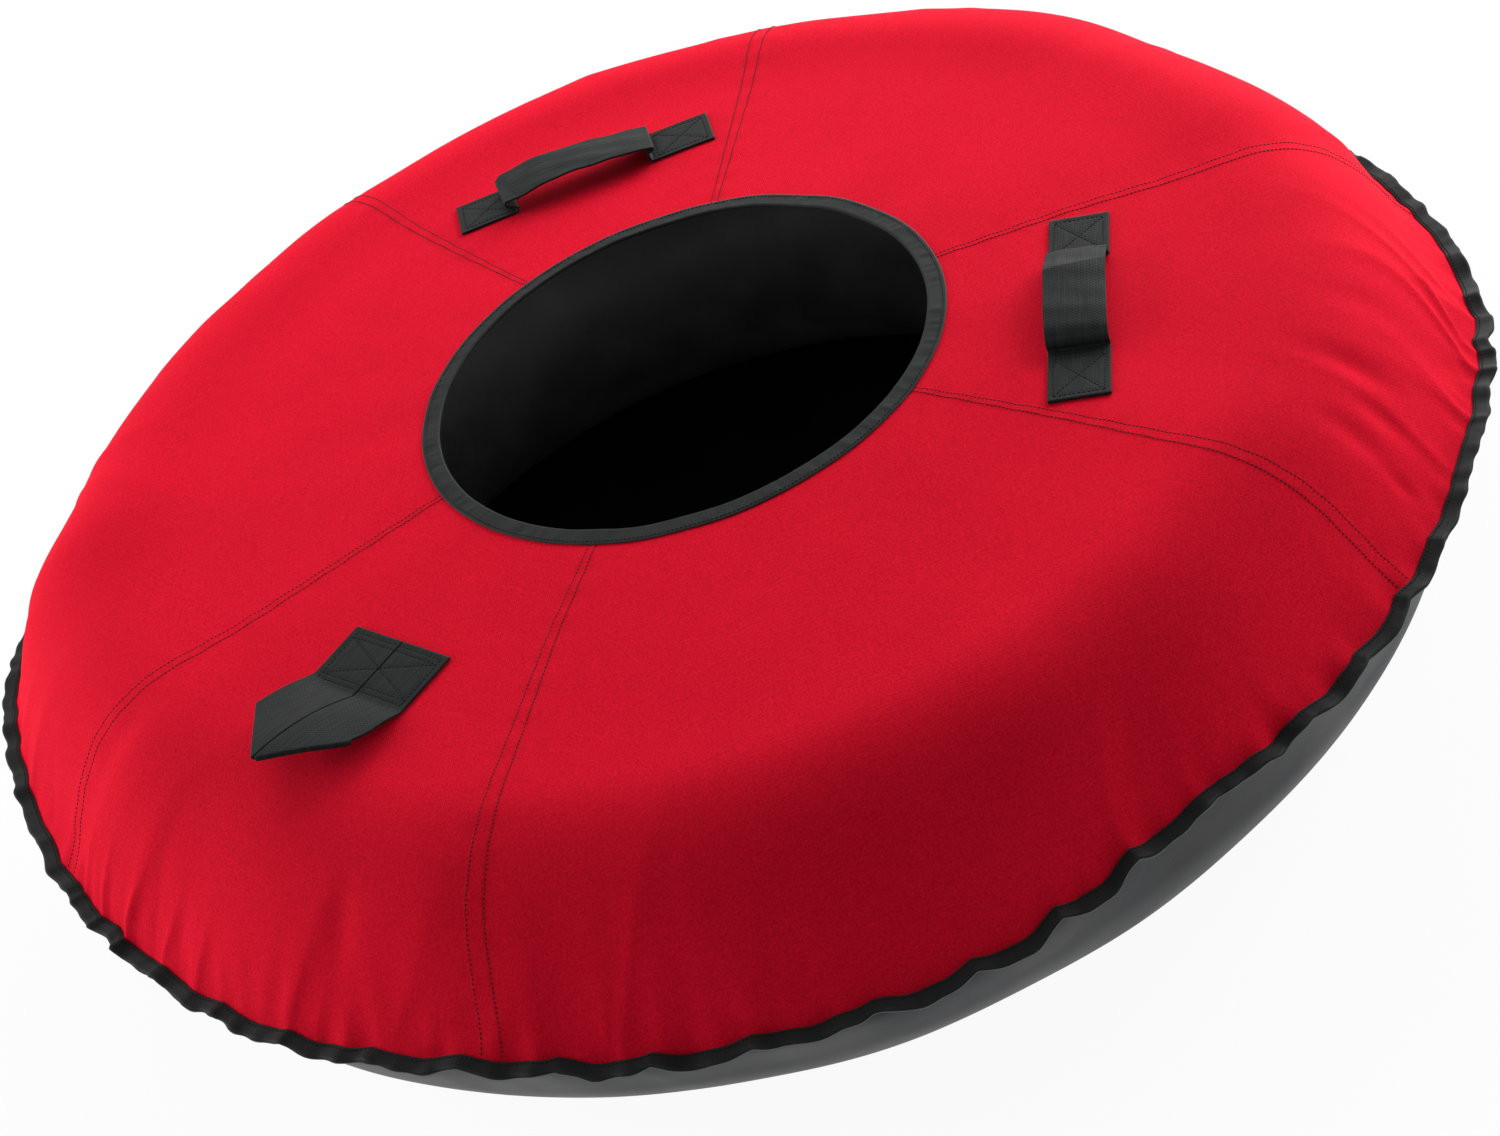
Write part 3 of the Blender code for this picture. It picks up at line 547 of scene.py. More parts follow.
def stitches(name, rows, material, slot):
    """Stitches along rows of (points, normals): short threads that dip into the cloth at both ends."""
    starts, ends = [], []
    for points, normals in rows:
        lengths = np.concatenate([[0], np.cumsum(np.linalg.norm(np.diff(points, axis=0), axis=1))])
        count = int(lengths[-1] / STITCH_PITCH)
        first = (np.arange(count) + 0.5) * lengths[-1] / count - STITCH_LENGTH / 2
        table = np.concatenate([points, normals], axis=1).T
        for made, place in ((starts, first), (ends, first + STITCH_LENGTH)):
            made.append(np.stack([np.interp(place, lengths, values) for values in table], axis=1))
    start, up = np.split(np.concatenate(starts), 2, axis=1)
    end = np.concatenate(ends)[:, :3]
    ahead = (end - start) / np.linalg.norm(end - start, axis=1, keepdims=True)
    side = np.cross(ahead, up)
    side /= np.linalg.norm(side, axis=1, keepdims=True)
    up = np.cross(side, ahead)
    along, rise, thick = np.array(STITCH_SECTIONS).T[:, :, None]
    angle = np.arange(STITCH_SIDES)[:, None] * 2 * math.pi / STITCH_SIDES
    middle = start[:, None] + (end - start)[:, None] * along + up[:, None] * rise * THREAD
    ring = side[:, None] * np.cos(angle) + up[:, None] * np.sin(angle)
    points = middle[:, :, None] + ring[:, None] * thick[..., None] * THREAD
    sections = len(STITCH_SECTIONS)
    stitch, level, face = np.indices((len(start), sections - 1, STITCH_SIDES))
    base = (stitch * sections + level) * STITCH_SIDES
    after = (face + 1) % STITCH_SIDES
    beyond = base + STITCH_SIDES
    quads = np.stack([base + face, base + after, beyond + after, beyond + face], axis=-1)
    foot = np.arange(len(start))[:, None, None] * sections * STITCH_SIDES
    last = foot + (sections - 1) * STITCH_SIDES
    caps = [place + np.array(cap) for place, cap in zip((foot, last), STITCH_CAPS)]
    quads = np.concatenate([part.reshape(-1, 4) for part in (quads, *caps)])
    piece = add_piece(name + "_stitching", points, [quads], [np.zeros((len(quads), 4, 2))], material)
    keep_on_cover(piece, slot)


# Materials

def linear(colour):
    """Linear colour of an sRGB hex value."""
    channels = [int(colour[k : k + 2], 16) / 255 for k in (0, 2, 4)]
    return [c / 12.92 if c <= 0.04045 else ((c + 0.055) / 1.055) ** 2.4 for c in channels] + [1.0]


def add_node(material, kind, inputs=(), **settings):
    """Adds a node with its settings. inputs maps its sockets to values or to the outputs that feed them."""
    tree = material.node_tree
    node = tree.nodes.new(kind)
    for name, value in settings.items():
        setattr(node, name, value)
    for name, value in dict(inputs).items():
        if isinstance(value, bpy.types.NodeSocket):
            tree.links.new(value, node.inputs[name])
        else:
            node.inputs[name].default_value = value
    return node


def finish_material(name, roughness=0.5, **uniform):
    """A Principled material with values that are the same all over it."""
    material = bpy.data.materials.new(name)
    material.use_nodes = True
    shader = material.node_tree.nodes["Principled BSDF"]
    shader.inputs["Roughness"].default_value = roughness
    for socket, value in uniform.items():
        shader.inputs[socket.replace("_", " ")].default_value = value
    return material, shader


def weave(material, warp, weft, ribs=0.0, lengthwise=0.5):
    """Threads of a woven cloth: relief of the crossings and slow unevenness of the yarns, both near 0 to 1.

    ribs is the share of ribs that run along the cloth, and lengthwise the share of the yarns that do.
    """
    place = add_node(material, "ShaderNodeUVMap", uv_map="cloth").outputs[0]
    scaled = add_node(material, "ShaderNodeVectorMath", {0: place, 1: (math.pi / warp, math.pi / weft, 0)},
                      operation="MULTIPLY").outputs[0]
    split = add_node(material, "ShaderNodeSeparateXYZ", {0: scaled})
    warps, wefts = [add_node(material, "ShaderNodeMath", {0: line}, operation="SINE").outputs[0]
                    for line in split.outputs[:2]]
    crossing = add_node(material, "ShaderNodeMath", {0: warps, 1: wefts}, operation="MULTIPLY").outputs[0]
    yarns = []
    for stretch in ((1 / warp, 0.05 / weft, 0), (0.05 / warp, 1 / weft, 0)):
        along = add_node(material, "ShaderNodeVectorMath", {0: place, 1: stretch}, operation="MULTIPLY")
        inputs = {"Vector": along.outputs[0], "Scale": 1.0, "Detail": 2.0}
        yarn = add_node(material, "ShaderNodeTexNoise", inputs)
        yarns.append(yarn.outputs["Fac"])
    mixed = add_node(material, "ShaderNodeMix", {"Factor": lengthwise, "A": yarns[0], "B": yarns[1]})
    uneven = mixed.outputs["Result"]
    rib = add_node(material, "ShaderNodeMath", {0: wefts, 1: wefts}, operation="MULTIPLY").outputs[0]
    relief = 0.5
    for layer, share in ((crossing, 0.5), (rib, ribs), (uneven, 1.6)):
        terms = {0: layer, 1: share, 2: relief}
        relief = add_node(material, "ShaderNodeMath", terms, operation="MULTIPLY_ADD").outputs[0]
    return relief, uneven


def blotches(material, size, detail=3.0):
    """Variation over a surface, of a size in metres."""
    place = add_node(material, "ShaderNodeTexCoord").outputs["Object"]
    return add_node(material, "ShaderNodeTexNoise",
                    {"Vector": place, "Scale": 1 / size, "Detail": detail, "Roughness": 0.55}).outputs["Fac"]


def mix(material, share, low, high):
    """Mixes two colours, each a hex value or the output of a node."""
    low, high = (linear(c) if isinstance(c, str) else c for c in (low, high))
    mixed = add_node(material, "ShaderNodeMix", {"Factor": share, 6: low, 7: high}, data_type="RGBA")
    return mixed.outputs[2]


def between(material, share, low, high, floor=0.35, ceiling=0.65):
    """Runs between two colours as the share goes from its floor to its ceiling."""
    span = {"Value": share, "From Min": floor, "From Max": ceiling}
    mapped = add_node(material, "ShaderNodeMapRange", span)
    return mix(material, mapped.outputs[0], low, high)


def finish(material, shader, colour, relief=None, depth=0, strength=1.0, rough=None):
    """Colour, relief of a depth in metres, and roughness from (share, low, high), all over the surface."""
    links = material.node_tree.links
    links.new(colour, shader.inputs["Base Color"])
    if relief:
        inputs = {"Height": relief, "Distance": depth, "Strength": strength}
        bump = add_node(material, "ShaderNodeBump", inputs)
        links.new(bump.outputs[0], shader.inputs["Normal"])
    if rough:
        share, low, high = rough
        mapped = add_node(material, "ShaderNodeMapRange",
                          {"Value": share, "From Min": 0.3, "From Max": 0.7, "To Min": low, "To Max": high})
        links.new(mapped.outputs[0], shader.inputs["Roughness"])
    return material


def woven_oxford():
    """Woven oxford polyester: matt, with a fine plain weave and uneven yarns that show as a faint grain."""
    material, shader = finish_material("woven_oxford_polyester", 0.88, Specular_IOR_Level=0.03)
    relief, uneven = weave(material, 0.9 * MM, 0.9 * MM)       # coarser than its 0.4 mm threads, to show
    grain = blotches(material, 1.5 * MM, 1.0)
    colour = between(material, blotches(material, 160 * MM), "cf0c27", "e0122c")
    yarn = between(material, uneven, "c60b24", "e4132e", 0.36, 0.64)
    speck = between(material, grain, "b2081f", "f51b38", 0.3, 0.7)
    for layer in (yarn, speck):
        colour = mix(material, 0.4, colour, layer)
    relief = add_node(material, "ShaderNodeMath", {0: relief, 1: grain}).outputs[0]
    return finish(material, shader, colour, relief, 0.2 * MM, 0.7)


def polyester_webbing():
    """Woven polyester webbing: dark grey, with ribs along the band and a dull sheen where the yarns turn."""
    material, shader = finish_material("woven_polyester_webbing", 0.7, Specular_IOR_Level=0.1)
    relief, uneven = weave(material, 1.5 * MM, 2.2 * MM, ribs=0.6, lengthwise=0.9)
    colour = between(material, uneven, "0b0e0d", "1b1f1e", 0.36, 0.64)
    return finish(material, shader, colour, relief, 0.2 * MM, 0.7)


def bias_tape(name, fold=None):
    """Woven polyester bias tape: near black, close weave, with a painted highlight that makes it lighter on
    sharp convex crests and folds.

    fold is the place across the tape of a pressed fold, along which a thin pale line is painted as the fold's
    highlight.
    """
    material, shader = finish_material(name, 0.7, Specular_IOR_Level=0.12)
    relief, uneven = weave(material, 1.1 * MM, 1.1 * MM)       # drawn coarser than its threads
    # painted highlight: the tape is lighter where its surface is sharply convex, on crests and folds
    painted_crest_highlight = add_node(material, "ShaderNodeNewGeometry").outputs["Pointiness"]
    plain = between(material, uneven, "0d100f", "151818", 0.36, 0.64)
    colour = between(material, painted_crest_highlight, plain, "353838", 0.52, 0.62)
    if fold is not None:
        place = add_node(material, "ShaderNodeUVMap", uv_map="cloth").outputs[0]
        across = add_node(material, "ShaderNodeSeparateXYZ", {0: place}).outputs[1]
        away = add_node(material, "ShaderNodeMath", {0: across, 1: fold}, operation="SUBTRACT").outputs[0]
        away = add_node(material, "ShaderNodeMath", {0: away}, operation="ABSOLUTE").outputs[0]
        # painted highlight: a thin pale line along the pressed fold
        colour = between(material, away, "6c7274", colour, 0.7 * MM, 1.3 * MM)
    return finish(material, shader, colour, relief, 0.2 * MM, 0.6)


def coated_fabric():
    """PU-coated polyester: slate grey, smooth and half gloss, with the cloth's grain under the coating."""
    material, shader = finish_material("pu_coated_polyester", Specular_IOR_Level=0.1)
    relief, _ = weave(material, 0.9 * MM, 0.9 * MM)
    slow = blotches(material, 90 * MM)
    colour = between(material, slow, "16171a", "1f2125")
    return finish(material, shader, colour, relief, 0.08 * MM, 0.5, rough=(slow, 0.36, 0.48))


def butyl_rubber():
    """Moulded butyl rubber: black and dull, with a faint bloom of talc and fine mould grain."""
    material, shader = finish_material("moulded_butyl_rubber", IOR=1.52)
    bloom = blotches(material, 50 * MM, 6.0)
    grain = blotches(material, 1.2 * MM, 2.0)
    colour = between(material, bloom, "4f4f50", "68686a", 0.35, 0.7)
    return finish(material, shader, colour, grain, 0.1 * MM, 0.5, rough=(bloom, 0.5, 0.72))


def thread():
    """Bonded polyester thread: near black, with the twist of its strands."""
    material, shader = finish_material("bonded_polyester_thread", 0.6, Specular_IOR_Level=0.1)
    twist = blotches(material, 0.6 * MM, 1.0)
    return finish(material, shader, between(material, twist, "1a1214", "2e2426", 0.4, 0.8))


def turned_brass():
    """Turned brass: warm yellow, with fine marks and a dull film."""
    material, shader = finish_material("turned_brass", Metallic=1.0)
    film = blotches(material, 4 * MM, 4.0)
    return finish(material, shader, between(material, film, "a5823f", "c9a860"), rough=(film, 0.24, 0.42))


def moulded_cap():
    """Moulded polyethylene: black, slightly waxy."""
    material, shader = finish_material("moulded_polyethylene")
    haze = blotches(material, 3 * MM)
    return finish(material, shader, between(material, haze, "101011", "1c1c1e"), rough=(haze, 0.34, 0.46))


# Cover

def gore_lift(offset):
    """Rise of a gore over the one before it, at an angle from the middle of the seam where it starts."""
    rise = smooth((offset + FELL) / FELL_STEP) * (1 - smooth(offset / FELL_FADE))
    groove = sum(bell(offset - row, FELL_SIDE) for row in (-FELL_ROW, FELL_ROW))
    return FELL_RISE * rise - FELL_GROOVE * groove


def gore_rows():
    """Runs of the rows of a gore: close near the hole and near the outer seam, then on into the flange."""
    near_hole = np.arange(0, 45 * MM, 3 * MM)
    flat = np.arange(45 * MM, TOP_RUN - 190 * MM, 6 * MM)
    side = np.arange(flat[-1] + 6 * MM, TOP_RUN - 60 * MM, 4 * MM)
    hem = np.linspace(side[-1] + 4 * MM, TOP_RUN, 26)
    flange = TOP_RUN + np.array([0.6 * MM, 2 * MM, 5 * MM, FLANGE])
    return np.concatenate([near_hole, flat, side, hem, flange])[None, :]


def seam_bend(name, run):
    """How far the seam at the start of a gore strays from straight, at a run from the hole."""
    runs, degrees = zip(*SEAM_BENDS[name])
    return np.radians(np.interp(run, np.array(runs) * MM, degrees))


def seam_row(name, start, offset, fell_share):
    """Points and normals along one stitch row of a felled seam."""
    run = np.linspace(14 * MM, TOP_RUN - 2 * MM, 400)[None, :]
    azimuth = start + offset * fell_share + seam_bend(name, run)
    lift = gore_lift(offset) + THREAD_LIFT
    points, above = (top_points(azimuth, run, lift + more)[0] for more in (0, MM))
    return points, (above - points) / MM


def build_gores(material, sewing):
    """The six gores of the top, each felled over the end of the one before it with two rows of stitches."""
    names = list(GORES)
    run = gore_rows()
    radius = top_profile(run)[0]
    step = GORE_STEP / SEAM
    near_seam = np.radians(FELL_COLUMNS)
    for index, name in enumerate(names):
        follower = names[(index + 1) % len(names)]
        start, end = (math.radians(GORES[gore]) for gore in (name, follower))
        if end < start:
            end += 2 * math.pi
        fell_share = NARROW_SHARE if name in NARROW_FELLS else 1
        inside = np.arange(start + near_seam[-1] + step, end - FELL - step / 2, step)
        last = np.linspace(inside[-1] + step, end + TUCK, 9)
        azimuth = np.concatenate([start + fell_share * near_seam, inside, last])[:, None]
        lift = gore_lift((azimuth - start) / fell_share)
        share = smooth((azimuth - start - 2 * FELL) / (end - start - 4 * FELL))
        bent = azimuth + seam_bend(name, run) * (1 - share) + seam_bend(follower, run) * share
        outer = top_points(bent, run, lift)
        inner = top_points(bent, run, lift - TOP_FABRIC)
        cloth = np.stack(np.broadcast_arrays((azimuth - (start + end) / 2) * radius, run), axis=-1)
        keep_on_cover(shell(name + "_cloth", outer, inner, cloth, material), "red_oxford", name)
        rows = [seam_row(name, start, side * FELL_ROW, fell_share) for side in (-1, 1)]
        stitches(name + "_seam", rows, sewing, "bias_tape")


def hole_binding_width(azimuth):
    """Visible width of the hole binding, less on the far side."""
    return HOLE_BINDING - HOLE_LESS * np.maximum(np.cos(azimuth - FAR_SIDE), 0) ** 2


def build_hole_binding(material, sewing):
    """Tape folded over the cut edge of the hole, with crosswise wrinkles and a row of stitches."""
    columns = 720
    azimuth = columns_of(columns)
    leg = np.linspace(1, 0, 13)
    level = np.ones(len(leg))
    nose = np.radians(np.linspace(90, -90, 9)[1:-1])
    half = TOP_FABRIC / 2 + SLACK + HOLE_TAPE
    wrinkle = swell(azimuth, 0, 31, 14, 6 * MM * SEAM / HOLE_EDGE, 26 * MM * SEAM / HOLE_EDGE)
    crease = np.clip(swell(azimuth, 0, 33, 10, 27 * MM, 90 * MM) - 0.9, 0, 1)
    across = np.concatenate([leg, 0 * nose, leg[::-1]])[None, :]
    faces = []
    for size in (half, half - HOLE_TAPE):
        run = across * hole_binding_width(azimuth) - size * np.concatenate([0 * leg, np.cos(nose), 0 * leg])
        lift = size * np.concatenate([level, np.sin(nose), -level])[None, :]
        bulge = np.sin(across * math.pi) * np.sign(lift)
        slack = (0.3 * wrinkle + 0.5 * crease) * MM * (bulge + 0.2 * (run < 2 * MM) * np.sign(lift + 1e-9))
        faces.append(top_points(azimuth, run, lift - TOP_FABRIC / 2 + slack))
    along = np.linspace(0, 2 * math.pi * HOLE_EDGE, columns + 1)
    cloth = flat_cloth(along, np.arange(1, across.shape[1] + 1) * HOLE_ROW)
    piece = shell("hole_binding_tape", faces[0], faces[1], cloth, material, around=True)
    keep_on_cover(piece, "bias_tape", "hole_binding")
    turn = np.linspace(0, 2 * math.pi, 1441)[:, None]
    run = hole_binding_width(turn) - BINDING_SEWN
    points = top_points(turn, run, half - TOP_FABRIC / 2 + THREAD_LIFT)[:, 0]
    stitches("hole_binding", [upright(points)], sewing, "bias_tape")


def flange_points(azimuth, reach, rise, stand=0):
    """Points at a reach out and a rise from the middle of the outer seam, on the flange's waves."""
    wave_out, wave_up, seam_out, seam_up = round_at(azimuth, WAVE_OUT, WAVE_UP, SEAM_OUT, SEAM_UP)
    further = 1 + FLARE * reach / FLANGE
    radius = SEAM + seam_out + reach + wave_out * further + stand
    return turned(azimuth, radius, SEAM_MIDDLE + seam_up + rise + wave_up * further)


def build_edge_binding(material, sewing):
    """Tape folded over the puckered flange of the outer seam, with the flange's waves and small creases."""
    columns = 1600
    azimuth = columns_of(columns)
    half = (TOP_FABRIC + BOTTOM_FABRIC + SLACK) / 2 + SLACK + EDGE_TAPE
    ripple = swell(azimuth, 0, 41, 12, 9 * MM, 24 * MM)
    nose = np.radians(np.linspace(90, -90, 11)[1:-1])
    leg = np.linspace(0.4 * MM, FLANGE, 9)
    level = np.ones(len(leg))
    faces = []
    for size in (half, half - EDGE_TAPE):
        reach = np.concatenate([leg, FLANGE + size * np.cos(nose), leg[::-1]])[None, :]
        rise = size * np.concatenate([level, np.sin(nose), -level])[None, :]
        pinch = 1 + 0.25 * np.maximum(ripple, -0.3) * reach / FLANGE
        faces.append(flange_points(azimuth, reach, rise * pinch, 0.45 * MM * ripple * reach / FLANGE))
    along = np.linspace(0, 2 * math.pi * SEAM, columns + 1)
    cloth = flat_cloth(along, np.arange(reach.shape[1]) * EDGE_ROW)
    piece = shell("edge_binding_tape", faces[0], faces[1], cloth, material, around=True)
    keep_on_cover(piece, "bias_tape", "edge_binding")
    turn = np.linspace(0, 2 * math.pi, 2401)[:, None]
    rows = []
    for side in (1.0, -1.0):
        points = flange_points(turn, BINDING_SEWN, side * (half + THREAD_LIFT))
        rows.append(upright(points[:, 0], side))
    stitches("edge_binding", rows, sewing, "bias_tape")


def build_bottom(material):
    """Coated dish: flange, side, flat contact, and the floor that runs on to the middle under the hole."""
    columns = 900
    azimuth = columns_of(columns)
    flange = np.array([-FLANGE, -6 * MM, -2 * MM, 0])
    side = np.arange(2.5 * MM, BOTTOM_RUN, 6.5 * MM)
    floor_run = BOTTOM_RUN + (RING - np.linspace(RING - 8 * MM, 14 * MM, 12))
    run = np.concatenate([flange, side, floor_run])[None, :]
    outer, inner = (bottom_points(azimuth, run, lift) for lift in (0, -BOTTOM_FABRIC))
    rows = run.shape[1]
    sheet = np.concatenate([outer, inner[:, ::-1]], axis=1).reshape(-1, 3)
    points = np.concatenate([sheet, [[0, 0, 0], [0, 0, BOTTOM_FABRIC]]])
    column, row = np.indices((columns, 2 * rows)).reshape(2, -1)
    closed = row != rows - 1                   # both faces of the floor end at its middle, in triangles
    quads = ring_quads(columns, 2 * rows, column[closed], row[closed])
    first = np.arange(columns) * 2 * rows + rows
    after = np.roll(first, -1)
    hub = np.full(columns, len(sheet))
    under = np.stack([first - 1, after - 1, hub], axis=1)
    over = np.stack([after, first, hub + 1], axis=1)
    faces = [quads, np.concatenate([under, over])]
    cloth = [points[group][..., :2] for group in faces]
    piece = add_piece("bottom_cover_cloth", points, faces, cloth, material)
    keep_on_cover(piece, "coated_fabric", "bottom_cover")


def build_tube(material):
    """Inner tube, pressed flat where it stands, with the moulding line round its inner side."""
    columns, sides = 360, 96
    angle = (np.arange(sides) * 2 * math.pi / sides)[None, :]
    line = 0.5 * MM * bell((angle - math.pi) * TUBE, 4 * MM)
    section = TUBE + line - COVER_PRESS * smooth((np.cos(angle) + 0.72) / 0.3)
    section = section - SIDE_PRESS * smooth((np.cos(angle) + 0.1) / 0.6)
    height = np.maximum(TUBE_MIDDLE + section * np.sin(angle), TUBE_FLAT)
    points = turned(columns_of(columns), RING + section * np.cos(angle), height)
    around = np.linspace(0, 2 * math.pi * RING, columns + 1)
    girth = np.linspace(0, 2 * math.pi * TUBE, sides + 1)
    piece = sweep("inner_tube_rubber", points, flat_cloth(around, girth), material, around=True)
    keep_on_cover(piece, "butyl_rubber", "inner_tube")


# Straps

PROFILE_RUN = np.linspace(-4 * MM, TOP_RUN, 1200)
PROFILE_RADIUS = top_profile(PROFILE_RUN)[0]


def strap_directions(place):
    """Middle of a strap on the cover, and its lengthwise and crosswise directions, seen from above."""
    azimuth, heading = (math.radians(place["azimuth"] + turn) for turn in (0, place["turn"] + 90))
    middle = place["radius"] * np.array([math.cos(azimuth), math.sin(azimuth)])
    lengthwise = np.array([math.cos(heading), math.sin(heading)])
    crosswise = np.array([math.sin(heading), -math.cos(heading)])
    return middle, lengthwise, crosswise


def lay(place, along, across, height):
    """Points at a height over the top cover, in a strap's own directions."""
    middle, lengthwise, crosswise = strap_directions(place)
    along, across, height = np.broadcast_arrays(along, across, height)
    flat = middle + along[..., None] * lengthwise + across[..., None] * crosswise
    azimuth = np.arctan2(flat[..., 1], flat[..., 0])
    run = np.interp(np.hypot(flat[..., 0], flat[..., 1]), PROFILE_RADIUS, PROFILE_RUN)
    surface = top_points(azimuth.reshape(-1, 1), run.reshape(-1, 1), 0)[..., 2].reshape(run.shape)
    return np.concatenate([flat, (surface + SLACK + height)[..., None]], axis=-1)


def straight(start, goal, steps):
    """Points from just after the start to the goal."""
    return [start + (goal - start) * step / steps for step in range(1, steps + 1)]


def rounded_line(points, radii):
    """A line through corner points, each rounded by its radius, with its straights cut in GRIP_STEPS."""
    points = np.array(points, float)
    line = [points[0]]
    for index, steps in enumerate(GRIP_STEPS[:-1], 1):
        before, corner, after = points[index - 1 : index + 2]
        back, ahead = before - corner, after - corner
        back_length, ahead_length = np.linalg.norm(back), np.linalg.norm(ahead)
        back, ahead = back / back_length, ahead / ahead_length
        opening = math.acos(np.clip(back @ ahead, -1, 1))
        cut = min(radii[index - 1] / math.tan(opening / 2), 0.46 * back_length, 0.46 * ahead_length)
        first, last = corner + back * cut, corner + ahead * cut
        line += straight(line[-1], first, steps)
        centre = corner + (back + ahead) / np.linalg.norm(back + ahead) * cut / math.cos(opening / 2)
        for share in np.linspace(0, 1, 8)[1:]:
            blend = first + (last - first) * share - centre
            line.append(centre + blend / np.linalg.norm(blend) * np.linalg.norm(first - centre))
    return np.array(line + straight(line[-1], points[-1], GRIP_STEPS[-1]))


def across_places():
    """Crosswise places of a webbing's rows, and its thickness there as a share: the edges are rounded."""
    half = WEBBING_WIDTH / 2
    edge = np.array([0, 0.25, 0.7, 1.4]) * MM
    places = np.concatenate([edge - half, np.linspace(3 * MM - half, half - 3 * MM, 20), half - edge[::-1]])
    inset = np.clip((half - np.abs(places)) / MM, 0, 1)
    return places, 0.4 + 0.6 * np.sqrt(1 - (1 - inset) ** 2)


def band_faces(middle, thickness):
    """Both faces of a band, from the middle of its thickness at columns and rows of points."""
    normal = np.cross(np.gradient(middle, axis=0), np.gradient(middle, axis=1))
    normal /= np.linalg.norm(normal, axis=-1, keepdims=True)
    offset = normal * (thickness * WEBBING / 2)[:, None]
    return middle + offset, middle - offset


def band_cloth(middle):
    """Place on the flat band of each point: length along its middle row, and width."""
    along = np.linalg.norm(np.diff(middle, axis=0), axis=-1).mean(axis=1)
    across = np.linalg.norm(np.diff(middle[2], axis=0), axis=-1)
    return flat_cloth(*(np.concatenate([[0], np.cumsum(steps)]) for steps in (along, across)))


def stitch_groove(along, across, lines):
    """How deep the stitch lines pull the webbing in."""
    depth = 0
    for (along_a, across_a), (along_b, across_b) in lines:
        ahead, side = along_b - along_a, across_b - across_a
        share = np.clip(((along - along_a) * ahead + (across - across_a) * side) / (ahead**2 + side**2), 0, 1)
        distance = np.hypot(along - along_a - share * ahead, across - across_a - share * side)
        depth = np.maximum(depth, bell(distance, SEWN_REACH))
    return SEWN_DEPTH * depth


def box_stitch(near, far, half, ends):
    """A sewn box with a cross in it: lines between (along, across) places. Its end rows may be doubled."""
    inner_near, inner_far = near + ends, far - ends
    lines = [((near, -half), (near, half)), ((far, -half), (far, half)),
             ((near, -half), (far, -half)), ((near, half), (far, half)),
             ((inner_near, -half), (inner_far, half)), ((inner_near, half), (inner_far, -half))]
    if ends:
        lines += [((inner_near, -half), (inner_near, half)), ((inner_far, -half), (inner_far, half))]
    return lines


def strap_stitches(name, place, lines, material):
    """Rows of stitches on a sewn strap, along lines between (along, across) places."""
    rows = []
    for start, end in lines:
        along, across = np.linspace(start, end, 40).T
        rows.append(upright(lay(place, along, across, WEBBING - SEWN_DEPTH + 0.5 * THREAD)))
    stitches(name, rows, material, "webbing")


def build_handle(name, place, edges, flip, width_share, material, sewing):
    """One length of webbing: two sewn ends and the free grip, whose legs fold back over the sewn ends."""
    inner_line, outer_line = (
        rounded_line([(flip * along * MM, height * MM) for along, height in edge], [r * MM for r in radii])
        for edge, radii in edges
    )
    places, thickness = across_places()
    share = (places / WEBBING_WIDTH + 0.5)[None, :, None]
    along, height = np.moveaxis(inner_line[:, None] * (1 - share) + outer_line[:, None] * share, -1, 0)
    across = np.broadcast_to(places * width_share, along.shape)
    free = smooth((height - HANDLE_FREE) / (9 * MM))
    rumple = swell(along / SEAM, across, 51 + flip, 9, 20 * MM, 70 * MM)
    crown = free * MM * (0.9 * (1 - (2 * across / WEBBING_WIDTH) ** 2) + 0.45 * rumple)
    lines = []
    for side in (1, -1):
        lines += [tuple((side * a, c) for a, c in ends) for ends in box_stitch(*HANDLE_BOX, HANDLE_SEWN, 0)]
    lines += [((side * HANDLE_ROW, -HANDLE_SEWN), (side * HANDLE_ROW, HANDLE_SEWN)) for side in (1, -1)]
    sewn = 1 - smooth((height - HANDLE_FLAT) / (0.6 * MM))
    sink = stitch_groove(along, across, lines) * sewn
    middle = np.stack([along, across, height + crown], axis=-1)
    faces = band_faces(middle, thickness)[::flip]
    top, under = (lay(place, face[..., 0], face[..., 1], face[..., 2] - sink) for face in faces)
    piece = shell(name + "_webbing", top, under, band_cloth(middle), material)
    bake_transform(piece)
    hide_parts(name + "_loop", name + "_end_left", name + "_end_right")
    strap_stitches(name, place, lines, sewing)


def tow_line(reach):
    """Place, height and slope of the tow loop's free part, at a reach from its hinge."""
    table, step = np.linspace(-60 * MM, 115 * MM, 1800, retstep=True)
    slope = TOW_RISE * smooth((table + 3 * MM) / (9 * MM)) - np.maximum(table - TOW_STRAIGHT, 0) / TOW_DROOP
    along = np.cumsum(np.cos(slope)) * step
    along -= np.interp(0, table, along)
    up = np.cumsum(np.sin(slope)) * step
    up -= up[0]
    return [np.interp(reach, table, values) for values in (along, up, slope)]


def tow_points(reach, across, height):
    """Points of the tow loop: on the cover up to the hinge, then up and out along the free part."""
    outer_share = across / (WEBBING_WIDTH + TOW_SLIT / 2)
    across = across + TOW_ROUND * np.maximum(-outer_share, 0) ** 3 * bell(reach - TOW_STRAND, TOW_REACH)
    along, _, slope = tow_line(reach)
    up = tow_line(reach + TOW_EARLY * np.maximum(outer_share, 0) ** 3)[1]
    along = along - np.sin(slope) * height
    base = lay(TOW_LOOP, TOW_HINGE + np.minimum(along, TOW_LAID), across, 0)
    lower = np.where(across > 0, 0.3, 1) * np.abs(across) / WEBBING_WIDTH
    ridge = TOW_RIDGE * smooth(reach / TOW_STRAND) * lower
    base[..., :2] += np.maximum(along - TOW_LAID, 0)[..., None] * strap_directions(TOW_LOOP)[1]
    base[..., 2] += WEBBING / 2 + up + np.cos(slope) * height - ridge
    return base


